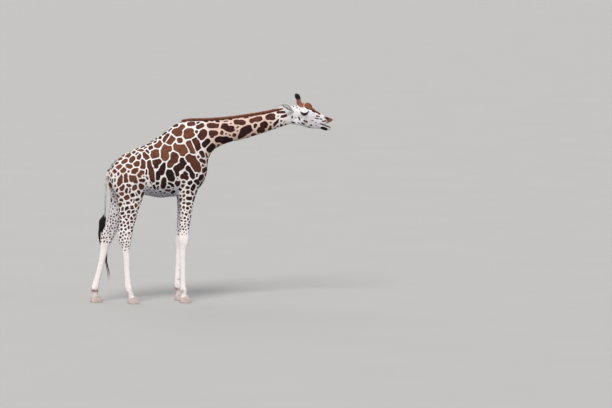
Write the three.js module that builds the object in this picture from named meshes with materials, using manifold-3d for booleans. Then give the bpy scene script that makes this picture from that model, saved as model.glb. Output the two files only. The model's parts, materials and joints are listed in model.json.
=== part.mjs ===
// A young giraffe cow of the white-stockinged, patch-coated kind, life size, standing with the neck
// stretched out level and the near hind leg a step ahead of the far one. Millimetres, +Z up, the
// animal faces +X and its left side is +Y. The origin is on the floor under the middle of its box.
//
// The flesh is one solid: a spine loft (trunk and neck), a head, four legs and a tail, joined and then
// parted by thin cuts into head, two lengths of neck, torso, legs and tail. Ears, eyes, ossicones,
// tongue and the claws of the hooves are pieces of their own. The mane is fused to the neck, the tufts
// to the ossicones and the tassel to the tail's end, all as flat tapered locks.

import * as THREE from "three";
import { mergeVertices } from "three/addons/utils/BufferGeometryUtils.js";
import Module from "manifold-3d";

const wasm = await Module();
wasm.setup();

// ---------------------------------------------------------------- driving dimensions

const CUT = 0.3; // the gap that parts two touching pieces
const SEED = 20; // of the small differences between locks
// A lock keeps its full width this far along, then tapers to this share of it at the tip.
const LOCK_TAPER = { from: 0.3, tip: 0.18, power: 1.4 };

// Trunk and neck, rump to poll. Each section has its upper and lower edge in the mid-plane [x, z],
// half its width, how far the widest part is shifted up (+) or down (-), and its squareness.
const SPINE = [
  { top: [-701, 1726], bottom: [-700, 1650], half: 34, shift: 0, square: 2 },
  { top: [-688, 1786], bottom: [-690, 1573], half: 98, shift: 0, square: 2 },
  { top: [-640, 1857], bottom: [-642, 1518], half: 152, shift: 0, square: 2.1 },
  { top: [-560, 1946], bottom: [-567, 1484], half: 194, shift: -0.04, square: 2.2 },
  { top: [-451, 2021], bottom: [-458, 1468], half: 222, shift: -0.08, square: 2.2 },
  { top: [-314, 2084], bottom: [-314, 1466], half: 245, shift: -0.1, square: 2.2 },
  { top: [-164, 2146], bottom: [-164, 1442], half: 270, shift: -0.12, square: 2.15 },
  { top: [-27, 2226], bottom: [-14, 1410], half: 282, shift: -0.16, square: 2.1 },
  { top: [96, 2315], bottom: [160, 1420], half: 268, shift: -0.22, square: 2.05 },
  { top: [212, 2397], bottom: [334, 1436], half: 238, shift: -0.26, square: 2 },
  { top: [314, 2438], bottom: [488, 1490], half: 206, shift: -0.22, square: 2 },
  { top: [410, 2440], bottom: [594, 1604], half: 180, shift: -0.16, square: 2 },
  { top: [513, 2441], bottom: [641, 1745], half: 152, shift: -0.12, square: 2 },
  { top: [615, 2442], bottom: [660, 1912], half: 128, shift: -0.08, square: 2 },
  { top: [724, 2445], bottom: [740, 2044], half: 112, shift: -0.05, square: 2.05 },
  { top: [888, 2455], bottom: [923, 2134], half: 100, shift: 0, square: 2.1 },
  { top: [1093, 2478], bottom: [1134, 2181], half: 91, shift: 0, square: 2.1 },
  { top: [1298, 2505], bottom: [1339, 2238], half: 84, shift: 0, square: 2.1 },
  { top: [1476, 2535], bottom: [1517, 2294], half: 79, shift: 0, square: 2.1 },
  { top: [1627, 2568], bottom: [1668, 2346], half: 76, shift: 0.02, square: 2.1 },
  { top: [1740, 2598], bottom: [1787, 2376], half: 76, shift: 0.04, square: 2.1 },
  { top: [1806, 2606], bottom: [1838, 2385], half: 62, shift: 0.04, square: 2.1 },
];

// The head, from inside the poll to the lips, in the same terms.
const HEAD = [
  { top: [1700, 2578], bottom: [1752, 2384], half: 60, shift: 0.05, square: 2.1 },
  { top: [1762, 2608], bottom: [1800, 2379], half: 80, shift: 0.1, square: 2.2 },
  { top: [1832, 2632], bottom: [1859, 2374], half: 90, shift: 0.16, square: 2.3 },
  { top: [1907, 2642], bottom: [1920, 2362], half: 94, shift: 0.22, square: 2.4 },
  { top: [1982, 2636], bottom: [1978, 2342], half: 92, shift: 0.26, square: 2.5 },
  { top: [2050, 2621], bottom: [2035, 2324], half: 83, shift: 0.26, square: 2.5 },
  { top: [2107, 2588], bottom: [2091, 2317], half: 70, shift: 0.22, square: 2.5 },
  { top: [2168, 2550], bottom: [2146, 2314], half: 60, shift: 0.14, square: 2.4 },
  { top: [2228, 2506], bottom: [2201, 2308], half: 55, shift: 0.06, square: 2.3 },
  { top: [2283, 2478], bottom: [2250, 2291], half: 57, shift: 0.04, square: 2.3 },
  { top: [2326, 2461], bottom: [2289, 2286], half: 56, shift: 0.06, square: 2.3 },
  { top: [2354, 2449], bottom: [2317, 2296], half: 47, shift: 0.08, square: 2.3 },
  { top: [2368, 2438], bottom: [2335, 2316], half: 35, shift: 0.1, square: 2.2 },
  { top: [2373, 2426], bottom: [2343, 2342], half: 19, shift: 0.1, square: 2 },
];

// Legs, top to bottom: height, half depth fore and aft, half width, and the same squareness.
const FORELEG = [
  { z: 2120, deep: 100, wide: 20, square: 2 },
  { z: 2010, deep: 160, wide: 44, square: 2 },
  { z: 1860, deep: 190, wide: 73, square: 2.1 },
  { z: 1680, deep: 182, wide: 92, square: 2.1 },
  { z: 1521, deep: 143, wide: 84, square: 2.1 },
  { z: 1385, deep: 104, wide: 68, square: 2.1 },
  { z: 1222, deep: 87, wide: 57, square: 2.1 },
  { z: 1046, deep: 75, wide: 49, square: 2.2 },
  { z: 940, deep: 72, wide: 50, square: 2.3 },
  { z: 872, deep: 77, wide: 54, square: 2.4 },
  { z: 800, deep: 70, wide: 50, square: 2.4 },
  { z: 735, deep: 54, wide: 40, square: 2.3 },
  { z: 660, deep: 48, wide: 35, square: 2.2 },
  { z: 436, deep: 43, wide: 33, square: 2.2 },
  { z: 260, deep: 43, wide: 36, square: 2.2 },
  { z: 172, deep: 48, wide: 44, square: 2.2 },
  { z: 110, deep: 43, wide: 41, square: 2.2 },
  { z: 40, deep: 52, wide: 46, square: 2.2 },
];
const HINDLEG = [
  { z: 1900, deep: 90, wide: 24, square: 2 },
  { z: 1774, deep: 172, wide: 64, square: 2 },
  { z: 1598, deep: 216, wide: 96, square: 2.1 },
  { z: 1434, deep: 178, wide: 90, square: 2.1 },
  { z: 1285, deep: 140, wide: 76, square: 2.1 },
  { z: 1149, deep: 119, wide: 62, square: 2.1 },
  { z: 1027, deep: 105, wide: 51, square: 2.2 },
  { z: 919, deep: 101, wide: 49, square: 2.3 },
  { z: 824, deep: 84, wide: 48, square: 2.3 },
  { z: 729, deep: 61, wide: 40, square: 2.2 },
  { z: 552, deep: 48, wide: 34, square: 2.2 },
  { z: 376, deep: 46, wide: 33, square: 2.2 },
  { z: 250, deep: 50, wide: 37, square: 2.2 },
  { z: 172, deep: 52, wide: 44, square: 2.2 },
  { z: 105, deep: 46, wide: 41, square: 2.2 },
  { z: 40, deep: 52, wide: 46, square: 2.2 },
];

// The stance: where the middle of each leg stands, fore and aft, at the heights of its sections, its
// distance from the mid-plane at the top and at the foot, and the lean of the hoof's toe outwards.
const STANCE = {
  fore_right: {
    sections: FORELEG,
    side: -1,
    line: [350, 368, 390, 384, 362, 350, 336, 317, 307, 303, 301, 294, 292, 291, 291, 295, 301, 305],
    apart: [128, 152],
    toe: 3,
  },
  fore_left: {
    sections: FORELEG,
    side: 1,
    line: [350, 368, 390, 384, 362, 351, 342, 324, 316, 309, 297, 286, 280, 270, 257, 262, 276, 286],
    apart: [128, 152],
    toe: 4,
  },
  hind_right: {
    sections: HINDLEG,
    side: -1,
    line: [-400, -450, -442, -418, -435, -450, -474, -489, -488, -479, -466, -460, -450, -437, -412, -392],
    apart: [120, 132],
    toe: 3,
  },
  hind_left: {
    sections: HINDLEG,
    side: 1,
    line: [-400, -452, -458, -476, -520, -566, -626, -681, -710, -736, -773, -818, -854, -871, -866, -862],
    apart: [120, 132],
    toe: 5,
  },
};
const HOOF_HEIGHT = 88; // at the middle of the foot
const HOOF_SLOPE = 0.3; // the coronet rises towards the toe
const HOOF_CLEFT = 7; // between the two claws
const CLAW_ROWS = [
  // height, reach to the toe and to the heel, half width outwards
  { z: 0, toe: 92, heel: 62, outer: 67 },
  { z: 14, toe: 90, heel: 64, outer: 68 },
  { z: 60, toe: 68, heel: 60, outer: 58 },
  { z: 150, toe: 34, heel: 50, outer: 42 },
];

// The cuts that part the flesh: a point on each and the direction across it, [x, z], and how long and
// wide the slab is that makes it. Neck from trunk, its lower from its upper half, head from neck, and
// the legs from the trunk.
const NECK_CUT = { at: [475, 2170], across: [540, 350], size: [900, 700] };
const NECK_MIDDLE_CUT = { at: [850, 2290], across: [100, 14], size: [600, 400] };
const HEAD_CUT = { at: [1752, 2490], across: [222, 46], size: [400, 400] };
const FORELEG_CUT = { at: [360, 1400], across: [0, 1], size: [420, 640] };
const HINDLEG_CUT = { at: [-470, 1396], across: [0, 1], size: [460, 640] };

// The middle of the box round each piece of flesh, by which it is known once the cuts are made.
const PIECE_AT = {
  torso: [-20, 0, 1950],
  neck: [1180, 0, 2300],
  neck_lower: [600, 0, 2230],
  neck_upper: [1300, 0, 2400],
  head: [2050, 0, 2480],
  tail: [-728, 59, 1433],
  tail_tassel: [-714, 170, 770],
  leg_fore_right: [310, -150, 740],
  leg_fore_left: [310, 150, 740],
  leg_hind_right: [-460, -130, 740],
  leg_hind_left: [-640, 130, 740],
};

const EYE_RADIUS = 28;
const EYE_AT = [1960, 78, 2530];
const LID = 5; // thickness of the lids over the eye
const LID_OPENING = { long: 29, tall: 13, drop: 4 }; // half lengths; the front corner is lower
const BROW = { long: 74, wide: 30, tall: 48 };
const BROW_TILT = 0.22;

const NOSTRIL = { at: [2278, 48, 2452], long: 19, tall: 6.5, deep: 17, tilt: 0.42, rim: 6 };
const MOUTH = {
  corner: [2184, 2394],
  lips: [2340, 2339],
  sag: 5, // the line hangs this far below a straight one
  open: 6, // how far the lower lip's edge is parted from the line at the front, both ways
  closed: 2.5, // the same at the corner
  roof: [2262, 2350], // the upper lip's underside bends here
  raised: [2420, 2462], // and runs on to here, past its tip
};
const TONGUE = { back: [2212, 2381], tip: [2326, 2340], wide: 23, thick: 7.5 };
// The bump in the middle of the forehead, and the swelling that joins it to the ossicones' roots.
const CROWN = [
  { at: [2025, 2611], long: 65, wide: 48, tall: 56, tilt: 0.45 },
  { at: [1970, 2620], long: 62, wide: 52, tall: 44, tilt: 0 },
];

const EAR = { half: 43, cup: 30, wall: 6, root: 22 };
const EAR_ROOT = [1816, 70, 2552];
const EAR_TIP = { right: [1612, 170, 2670], left: [1640, 205, 2576] }; // the left one hangs lower

const OSSICONE_ROOT = [1928, 36, 2596];
const OSSICONE_TIP = [1882, 51, 2766];
const OSSICONE_ROWS = [
  { t: 0, r: 37 },
  { t: 0.22, r: 33 },
  { t: 0.42, r: 24 },
  { t: 0.7, r: 19.5 },
  { t: 0.9, r: 21 },
  { t: 1, r: 16 },
];
// Short upright locks in two rings and one in the middle: the part of the knob's length where each
// ring is rooted, and how far out the locks' tips stand.
const OSSICONE_TUFT = {
  rings: [
    { at: 0.66, locks: 5, reach: 22, length: 62 },
    { at: 0.9, locks: 3, reach: 9, length: 46 },
  ],
  width: 27,
  thick: 12,
};

// Upright flat locks in two staggered rows, over a core that reaches less than half way up them.
const MANE = { from: 306, to: 1690, step: 32, height: 38, width: 48, thick: 13, row: 7, sunk: 15 };
const MANE_CORE = { half: 15, height: 15 };
const MANE_LEAN = 13; // the tips lean back this far

const TAIL = [
  { at: [-640, 0, 1782], r: 30 },
  { at: [-684, 0, 1772], r: 26 },
  { at: [-712, 1, 1726], r: 16 },
  { at: [-722, 5, 1650], r: 11.5 },
  { at: [-727, 12, 1550], r: 10 },
  { at: [-729, 24, 1450], r: 9.5 },
  { at: [-730, 48, 1330], r: 9 },
  { at: [-730, 84, 1235], r: 9 },
  { at: [-733, 118, 1160], r: 8 },
];
const TAIL_CUT = { at: [-716, 1706], across: [-20, -90], size: [40, 70] };
const TASSEL_CUT = { at: [-731, 1226], across: [0, -1], size: [200, 200] };
// The tassel's middle line, its half width fore and aft there, and half its thickness.
const TASSEL = [
  { at: [-731, 92, 1218], half: 8, thick: 6 },
  { at: [-742, 150, 1105], half: 31, thick: 13 },
  { at: [-745, 206, 985], half: 34, thick: 15 },
  { at: [-738, 224, 850], half: 34, thick: 15 },
  { at: [-712, 228, 650], half: 34, thick: 13 },
  { at: [-690, 228, 480], half: 40, thick: 11 },
  { at: [-668, 228, 240], half: 78, thick: 10 },
];
const TASSEL_LOCKS = { count: 13, width: 32, thick: 12 };
const TASSEL_CORE = { end: 0.42, fill: 0.72 }; // how far down the hair it reaches, and how full it is

// ---------------------------------------------------------------- solids

/** A three.js geometry as a manifold-3d solid, with its faces turned outwards. */
function solidOf(geometry) {
  const bare = geometry.clone();
  bare.deleteAttribute("normal");
  bare.deleteAttribute("uv");
  const merged = mergeVertices(bare, 1e-3);
  const index = new Uint32Array(merged.index.array);
  const position = merged.getAttribute("position");
  const [a, b, c] = [new THREE.Vector3(), new THREE.Vector3(), new THREE.Vector3()];
  let volume = 0;
  for (let i = 0; i < index.length; i += 3) {
    a.fromBufferAttribute(position, index[i]);
    b.fromBufferAttribute(position, index[i + 1]);
    c.fromBufferAttribute(position, index[i + 2]);
    volume += a.dot(b.cross(c));
  }
  if (volume < 0) {
    for (let i = 0; i < index.length; i += 3) [index[i + 1], index[i + 2]] = [index[i + 2], index[i + 1]];
  }
  return new wasm.Manifold(
    new wasm.Mesh({ numProp: 3, vertProperties: new Float32Array(position.array), triVerts: index }),
  );
}

/** A manifold-3d solid as a three.js geometry. */
function geometryOf(solid) {
  const mesh = solid.getMesh();
  const geometry = new THREE.BufferGeometry();
  geometry.setAttribute("position", new THREE.BufferAttribute(mesh.vertProperties, 3));
  geometry.setIndex(new THREE.BufferAttribute(mesh.triVerts, 1));
  geometry.computeVertexNormals();
  return geometry;
}

const join = (solids) => solids.reduce((whole, solid) => whole.add(solid));

/** The largest closed body of a solid: what a cut leaves beside it is dropped. */
function largest(solid) {
  return solid.decompose().reduce((best, body) => (body.volume() > best.volume() ? body : best));
}

/** A solid placed and turned by a matrix. */
const placed = (geometry, matrix) => solidOf(geometry.clone().applyMatrix4(matrix));

/** A repeatable random number between -1 and 1 at each call. */
function wobbler(seed) {
  let state = seed;
  return () => {
    state = (state * 1664525 + 1013904223) % 4294967296;
    return (state / 4294967296) * 2 - 1;
  };
}

/**
 * A closed tube made from a cylinder: section(t) gives the middle of the ring at t (0 to 1 along it),
 * its two half axes as vectors, the shift of its widest part along `up`, and its squareness.
 */
function loft(sides, rings, section) {
  const tube = new THREE.CylinderGeometry(1, 1, 1, sides, rings);
  tube.deleteAttribute("normal");
  tube.deleteAttribute("uv");
  const geometry = mergeVertices(tube, 1e-4);
  const position = geometry.getAttribute("position");
  for (let i = 0; i < position.count; i++) {
    const [x, y, z] = [position.getX(i), position.getY(i), position.getZ(i)];
    const { middle, up, side, shift = 0, square = 2 } = section(y + 0.5);
    const reach = Math.hypot(x, z) < 0.5 ? 0 : 1;
    const angle = Math.atan2(x, z);
    const across = reach * Math.sign(Math.sin(angle)) * Math.abs(Math.sin(angle)) ** (2 / square);
    const along = reach * Math.sign(Math.cos(angle)) * Math.abs(Math.cos(angle)) ** (2 / square);
    const point = middle.clone().addScaledVector(up, along);
    point.addScaledVector(side, across * (1 + shift * along));
    position.setXYZ(i, point.x, point.y, point.z);
  }
  return solidOf(geometry);
}

/** A smooth line through rows of numbers: returns the row at t. */
function smoothRows(rows) {
  const curves = [];
  for (let k = 0; k < rows[0].length; k += 3) {
    const points = rows.map((row) => new THREE.Vector3(row[k], row[k + 1] ?? 0, row[k + 2] ?? 0));
    curves.push(new THREE.CatmullRomCurve3(points, false, "catmullrom", 0.5));
  }
  return (t) => curves.flatMap((curve) => curve.getPoint(t).toArray());
}

const inPlane = ([x, z], y = 0) => new THREE.Vector3(x, y, z);
const LEFT = new THREE.Vector3(0, 1, 0);

/** A loft through sections of the mid-plane, such as the trunk and neck, or the head. */
function bodyLoft(sections, sides, rings) {
  const rowAt = smoothRows(sections.map((s) => [...s.top, ...s.bottom, s.half, s.shift, s.square]));
  return loft(sides, rings, (t) => {
    const [topX, topZ, bottomX, bottomZ, half, shift, square] = rowAt(t);
    const [top, bottom] = [inPlane([topX, topZ]), inPlane([bottomX, bottomZ])];
    return {
      middle: top.clone().add(bottom).multiplyScalar(0.5),
      up: top.clone().sub(bottom).multiplyScalar(0.5),
      side: LEFT.clone().multiplyScalar(half),
      shift,
      square,
    };
  });
}

/** A leg, in level rings. */
function legLoft({ sections, side, line, apart }) {
  const [top, foot] = apart;
  const apartAt = (i) => top + ((foot - top) * i) / (sections.length - 1);
  const rowAt = smoothRows(sections.map((s, i) => [s.z, line[i], apartAt(i), s.deep, s.wide, s.square]));
  return loft(12, 23, (t) => {
    const [z, x, y, deep, wide, square] = rowAt(t);
    return {
      middle: new THREE.Vector3(x, side * y, z),
      up: new THREE.Vector3(deep, 0, 0),
      side: LEFT.clone().multiplyScalar(wide),
      shift: 0.08,
      square,
    };
  });
}

/** A round or flat tube along points: radii(t) gives its half sizes, `flat` the first one's direction. */
function tubeLoft(points, sides, rings, radii, flat) {
  const curve = new THREE.CatmullRomCurve3(points, false, "catmullrom", 0.5);
  return loft(sides, rings, (t) => {
    const tangent = curve.getTangent(Math.min(Math.max(t, 1e-4), 1 - 1e-4));
    const [a, b] = radii(t);
    const first = flat.clone().addScaledVector(tangent, -flat.dot(tangent)).normalize();
    const second = tangent.clone().cross(first).normalize();
    return { middle: curve.getPoint(t), up: first.multiplyScalar(a), side: second.multiplyScalar(b) };
  });
}

/** A flat lock of hair along points: full for the first third, then tapering to a thin tip. */
function lock(points, rings, { width, thick }, flat) {
  const { from, tip, power } = LOCK_TAPER;
  const radii = (t) => {
    const full = 1 - (1 - tip) * Math.max(0, (t - from) / (1 - from)) ** power;
    return [(width / 2) * full, (thick / 2) * full];
  };
  return tubeLoft(points, 4, rings, radii, flat);
}

/** The thin slab of a cut, which parts what it crosses; y is its middle. */
function slab({ at, across, size: [length, width] }, y = 0) {
  const box = new THREE.BoxGeometry(CUT, width, length);
  const turn = new THREE.Matrix4().makeRotationY(-Math.atan2(across[1], across[0]));
  return placed(box, turn.setPosition(inPlane(at, y)));
}

/** All that lies behind a cut (against its direction), as a block. */
function behind({ at, across, size: [size] }) {
  const box = new THREE.BoxGeometry(size, size, size).translate(-size / 2 + CUT / 2, 0, 0);
  const turn = new THREE.Matrix4().makeRotationY(-Math.atan2(across[1], across[0]));
  return placed(box, turn.setPosition(inPlane(at)));
}

/** A block whose lower face lies on a sloping plane, `lift` above it. */
function blockOver(x, z, y, slope, lift, size = 400) {
  const box = new THREE.BoxGeometry(size, size, size).translate(0, 0, size / 2 + lift);
  return placed(box, new THREE.Matrix4().makeRotationY(-Math.atan(slope)).setPosition(x, y, z));
}

/** An ellipsoid with its long half axis turned down towards +X by tilt. */
function egg([x, y, z], long, wide, tall, tilt, sides = 14, rows = 8) {
  const ball = new THREE.SphereGeometry(1, sides, rows).rotateX(Math.PI / 2).scale(long, wide, tall);
  return placed(ball, new THREE.Matrix4().makeRotationY(tilt).setPosition(x, y, z));
}

/** A place on the left (+1) or right (-1) side, given on the left. */
const onSide = ([x, y, z], side) => [x, side * y, z];

// ---------------------------------------------------------------- head

/** The mouth: a wedge through the muzzle, thin at the corner, with the upper lip raised in front. */
function mouthWedge() {
  const { corner, lips, sag, open, closed, roof, raised } = MOUTH;
  const middle = [(corner[0] + lips[0]) / 2, (corner[1] + lips[1]) / 2 - sag];
  const reach = 1.3; // past the lips, clear of the muzzle
  const beyond = [corner[0] + (lips[0] - corner[0]) * reach, corner[1] + (lips[1] - corner[1]) * reach];
  const outline = new THREE.Shape();
  outline.moveTo(corner[0], corner[1] + closed / 2);
  outline.quadraticCurveTo(...roof, ...raised);
  outline.lineTo(beyond[0], beyond[1] - (open * reach) / 2);
  outline.quadraticCurveTo(middle[0], middle[1] - closed, corner[0], corner[1] - closed / 2);
  const depth = 240;
  const wedge = new THREE.ExtrudeGeometry(outline, { depth, bevelEnabled: false, curveSegments: 6 });
  return solidOf(wedge.translate(0, 0, -depth / 2).rotateX(Math.PI / 2));
}

/** The almond opening between the lids, running out to the side. */
function lidOpening(side) {
  const { long, tall, drop } = LID_OPENING;
  const outline = new THREE.Shape();
  outline.moveTo(-long, drop);
  outline.quadraticCurveTo(0, tall - drop, long, -drop);
  outline.quadraticCurveTo(0, -tall - drop * 2, -long, drop);
  const depth = 90;
  const almond = new THREE.ExtrudeGeometry(outline, { depth, bevelEnabled: false, curveSegments: 6 });
  almond.rotateX(Math.PI / 2).scale(1, -side, 1);
  const turn = new THREE.Matrix4().makeRotationY(BROW_TILT);
  return placed(almond, turn.setPosition(...onSide(EYE_AT, side)));
}

/** The swellings of the crown, larger all round by `room`. */
function crownSolids(room = 0) {
  return CROWN.map(({ at: [x, z], long, wide, tall, tilt }) => {
    return egg([x, 0, z], long + room, wide + room, tall + room, tilt, 12, 8);
  });
}

/** What stands out from the head loft on one side: brow, lids and the rim of the nostril. */
function facePads(side) {
  const { long, wide, tall } = BROW;
  const { at, long: nostrilLong, tall: nostrilTall, tilt, rim } = NOSTRIL;
  const lids = EYE_RADIUS + LID;
  const [longRim, tallRim] = [nostrilLong + rim * 1.6, nostrilTall + rim * 1.5];
  return [
    egg(onSide([EYE_AT[0] - 4, EYE_AT[1] - 1, EYE_AT[2] + 6], side), long, wide, tall, BROW_TILT, 12, 7),
    egg(onSide(EYE_AT, side), lids + 3, lids, lids, BROW_TILT, 12, 8),
    egg(onSide([at[0], at[1] - 8, at[2]], side), longRim, 15, tallRim, tilt, 8, 6),
  ];
}

function headSolid(flesh) {
  let head = join([
    flesh,
    ...crownSolids(),
    ...facePads(1),
    ...facePads(-1),
  ]);
  for (const side of [1, -1]) {
    const { at, long, tall, deep, tilt } = NOSTRIL;
    head = head
      .subtract(egg(onSide(EYE_AT, side), EYE_RADIUS + CUT, EYE_RADIUS + CUT, EYE_RADIUS + CUT, 0, 14, 10))
      .subtract(lidOpening(side))
      .subtract(egg(onSide([at[0], at[1] + 4, at[2]], side), long, deep, tall, tilt, 8, 6));
  }
  return head.subtract(mouthWedge()).subtract(tongueSolid(CUT));
}

/** The tongue, flat and round-ended; `room` makes the pocket it lies in, larger all round. */
function tongueSolid(room = 0) {
  const { back, tip, wide, thick } = TONGUE;
  const middle = [(back[0] + tip[0]) / 2, (back[1] + tip[1]) / 2 - MOUTH.sag / 2];
  const radii = (t) => {
    const round = Math.sqrt(Math.max(0.04, 1 - Math.max(0, t - 0.6) ** 2 / 0.165));
    return [thick * (0.35 + 0.65 * Math.min(1, t * 2.2)) * round + room, wide * round + room];
  };
  const line = [inPlane([back[0] - room, back[1]]), inPlane(middle), inPlane([tip[0] + room, tip[1]])];
  return tubeLoft(line, 10, 6, radii, new THREE.Vector3(0, 0, 1));
}

/** One ossicone: a tapering bony knob in skin, with a tuft of short hair round its top. */
function ossiconeSolid(side, headSkin) {
  const root = new THREE.Vector3(...onSide(OSSICONE_ROOT, side));
  const tip = new THREE.Vector3(...onSide(OSSICONE_TIP, side));
  const radiusAt = smoothRows(OSSICONE_ROWS.map(({ t, r }) => [t, r]));
  const axis = tip.clone().sub(root);
  const knob = loft(12, 8, (s) => {
    const [t, r] = radiusAt(s);
    return {
      middle: root.clone().addScaledVector(axis, t),
      up: new THREE.Vector3(r * 1.12, 0, 0),
      side: LEFT.clone().multiplyScalar(r),
    };
  });
  const wobble = wobbler(SEED + side);
  const tuft = OSSICONE_TUFT.rings.flatMap(({ at, locks, reach, length }) => {
    const turn = wobble();
    return Array.from({ length: locks }, (_, i) => {
      const angle = turn + (i / locks) * Math.PI * 2 + 0.15 * wobble();
      const out = new THREE.Vector3(Math.cos(angle), Math.sin(angle), 0);
      const base = root.clone().addScaledVector(axis, at).addScaledVector(out, Math.min(reach, 12));
      const rise = axis.clone().setLength(length * (1 + 0.12 * wobble()));
      const top = base.clone().add(rise).addScaledVector(out, reach * -0.2);
      const bend = base.clone().addScaledVector(rise, 0.45).addScaledVector(out, reach * 0.55);
      const flat = new THREE.Vector3(-out.y, out.x, 0);
      return lock([base, bend, top], 2, OSSICONE_TUFT, flat);
    });
  });
  return largest(join([knob, ...tuft]).subtract(headSkin));
}

/** One ear: a leaf-shaped cup, open to the side, on a short round root. */
function earSolid(side, headSkin) {
  const root = new THREE.Vector3(...onSide(EAR_ROOT, side));
  const tip = new THREE.Vector3(...onSide(side > 0 ? EAR_TIP.left : EAR_TIP.right, side));
  const length = root.distanceTo(tip);
  const axis = tip.clone().sub(root).normalize();
  // The cup opens outwards and a little down and forwards.
  const open = new THREE.Vector3(0.35, side, -0.25);
  open.addScaledVector(axis, -open.dot(axis)).normalize();
  const across = axis.clone().cross(open).normalize();
  const { half, cup, wall, root: rootRadius } = EAR;
  const leaf = (t) => {
    const widest = Math.sin(Math.PI * Math.min(1, 0.12 + t * 0.88) ** 0.82);
    return Math.max(2.2, half * widest ** 0.8);
  };
  const line = (t) => {
    const bow = 12 * Math.sin(t * 2.4) - 6;
    return root.clone().addScaledVector(axis, t * length).addScaledVector(open, bow);
  };
  const depth = (t) => cup * Math.min(1, (1.06 - t) * 2) * (0.75 + 0.25 * Math.sin(t * 3));
  const outer = loft(12, 11, (t) => ({
    middle: line(t),
    up: open.clone().multiplyScalar(Math.max(2.4, depth(t))),
    side: across.clone().multiplyScalar(Math.max(leaf(t), t < 0.25 ? rootRadius : 0)),
  }));
  const inner = loft(12, 8, (t) => {
    const u = 0.16 + t * 0.78;
    return {
      middle: line(u).addScaledVector(open, cup * 0.62 + wall),
      up: open.clone().multiplyScalar(Math.max(1.5, cup * 1.22 * Math.min(1, (1.02 - u) * 2.2) - wall * 0.4)),
      side: across.clone().multiplyScalar(Math.max(1.2, (leaf(u) - wall * 0.75) * Math.min(1, 0.3 + t * 4))),
    };
  });
  return largest(outer.subtract(inner).subtract(headSkin));
}

// ---------------------------------------------------------------- mane and tail

/** The line of the crest, along the top of the neck. */
function crestLine() {
  const topAt = smoothRows(SPINE.map((s) => [...s.top]));
  const crest = [];
  const samples = 240;
  for (let i = 0; i <= samples; i++) {
    const [x, z] = topAt(i / samples);
    if (x >= MANE.from && x <= MANE.to) crest.push(inPlane([x, z]));
  }
  return new THREE.CatmullRomCurve3(crest);
}

/** The upright mane: its core and its locks, shorter towards both ends. */
function maneSolids() {
  const line = crestLine();
  const count = Math.floor(line.getLength() / MANE.step);
  const wobble = wobbler(SEED);
  const locks = Array.from({ length: count + 1 }, (_, i) => {
    const s = i / count;
    const row = i % 2 ? 1 : -1;
    const root = line.getPointAt(s);
    const along = line.getTangentAt(s);
    const up = new THREE.Vector3(-along.z, 0, along.x);
    const tall = MANE.height * Math.min(1, 0.6 + 4 * Math.min(s, 1 - s)) * (1 + 0.08 * wobble());
    const base = root.clone().addScaledVector(up, -MANE.sunk).addScaledVector(LEFT, row * MANE.row);
    const lean = MANE_LEAN * (1 + 0.4 * wobble());
    const bend = root.clone().addScaledVector(up, tall * 0.4).addScaledVector(along, -lean * 0.3);
    bend.addScaledVector(LEFT, row * (MANE.row + 2));
    const tip = root.clone().addScaledVector(up, tall).addScaledVector(along, -lean);
    tip.addScaledVector(LEFT, row * MANE.row + 2.5 * wobble());
    return lock([base, bend, tip], 3, MANE, along);
  });
  const core = loft(6, 18, (t) => {
    const root = line.getPointAt(0.01 + 0.98 * t);
    const ends = Math.min(1, 0.3 + 9 * Math.min(t, 1 - t));
    return {
      middle: root.clone().add(new THREE.Vector3(0, 0, -MANE.sunk / 2)),
      up: new THREE.Vector3(0, 0, MANE.sunk / 2 + MANE_CORE.height * ends),
      side: LEFT.clone().multiplyScalar(MANE_CORE.half * ends),
    };
  });
  return [core, ...locks];
}

function tailLoft() {
  const points = TAIL.map((row) => new THREE.Vector3(...row.at));
  const radiusAt = smoothRows(TAIL.map((row) => [row.r, 0, 0]));
  const radii = (t) => [radiusAt(t)[0], radiusAt(t)[0]];
  return tubeLoft(points, 10, 14, radii, LEFT);
}

/**
 * The tassel: coarse locks rooted round the tail's end, over a core. It swings out past the far
 * hock and hangs beside the cannon, its locks parting towards their tips.
 */
function tasselSolids() {
  const rowAt = smoothRows(TASSEL.map(({ half, thick }) => [half, thick, 0]));
  const curve = new THREE.CatmullRomCurve3(TASSEL.map((row) => new THREE.Vector3(...row.at)));
  const foreAft = new THREE.Vector3(1, 0, 0);
  const wobble = wobbler(SEED + 5);
  const locks = Array.from({ length: TASSEL_LOCKS.count }, (_, i) => {
    const across = (2 * i) / (TASSEL_LOCKS.count - 1) - 1;
    const out = Math.sin(i * 2.4);
    const start = 0.01 + 0.03 * Math.abs(wobble());
    const long = i % 3 === 1;
    const end = long ? 0.94 + 0.06 * Math.abs(wobble()) : 0.56 + 0.28 * Math.abs(wobble());
    const sway = 7 * wobble();
    const points = [0, 0.16, 0.4, 0.66, 1].map((share) => {
      const t = start + (end - start) * share;
      const [half, thick] = rowAt(t);
      const point = curve.getPoint(t).addScaledVector(foreAft, across * half + sway * share);
      return point.addScaledVector(LEFT, out * thick * Math.min(1, 4 * share));
    });
    return lock(points, 5, TASSEL_LOCKS, foreAft);
  });
  const core = loft(8, 8, (s) => {
    const t = s * TASSEL_CORE.end;
    const [half, thick] = rowAt(t);
    const fill = TASSEL_CORE.fill * Math.min(1, 4 * (1 - s) + 0.15);
    const [first, second] = [foreAft, curve.getTangent(t).cross(foreAft).normalize()];
    return {
      middle: curve.getPoint(t),
      up: first.clone().multiplyScalar(half * fill),
      side: second.multiplyScalar(thick * fill),
    };
  });
  return [core, ...locks];
}

// ---------------------------------------------------------------- hooves

/** Where the coronet's sloping plane crosses the middle of a leg's foot. */
function footOf({ line, apart, side }) {
  return { x: line[line.length - 1], y: side * apart[1] };
}

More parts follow.
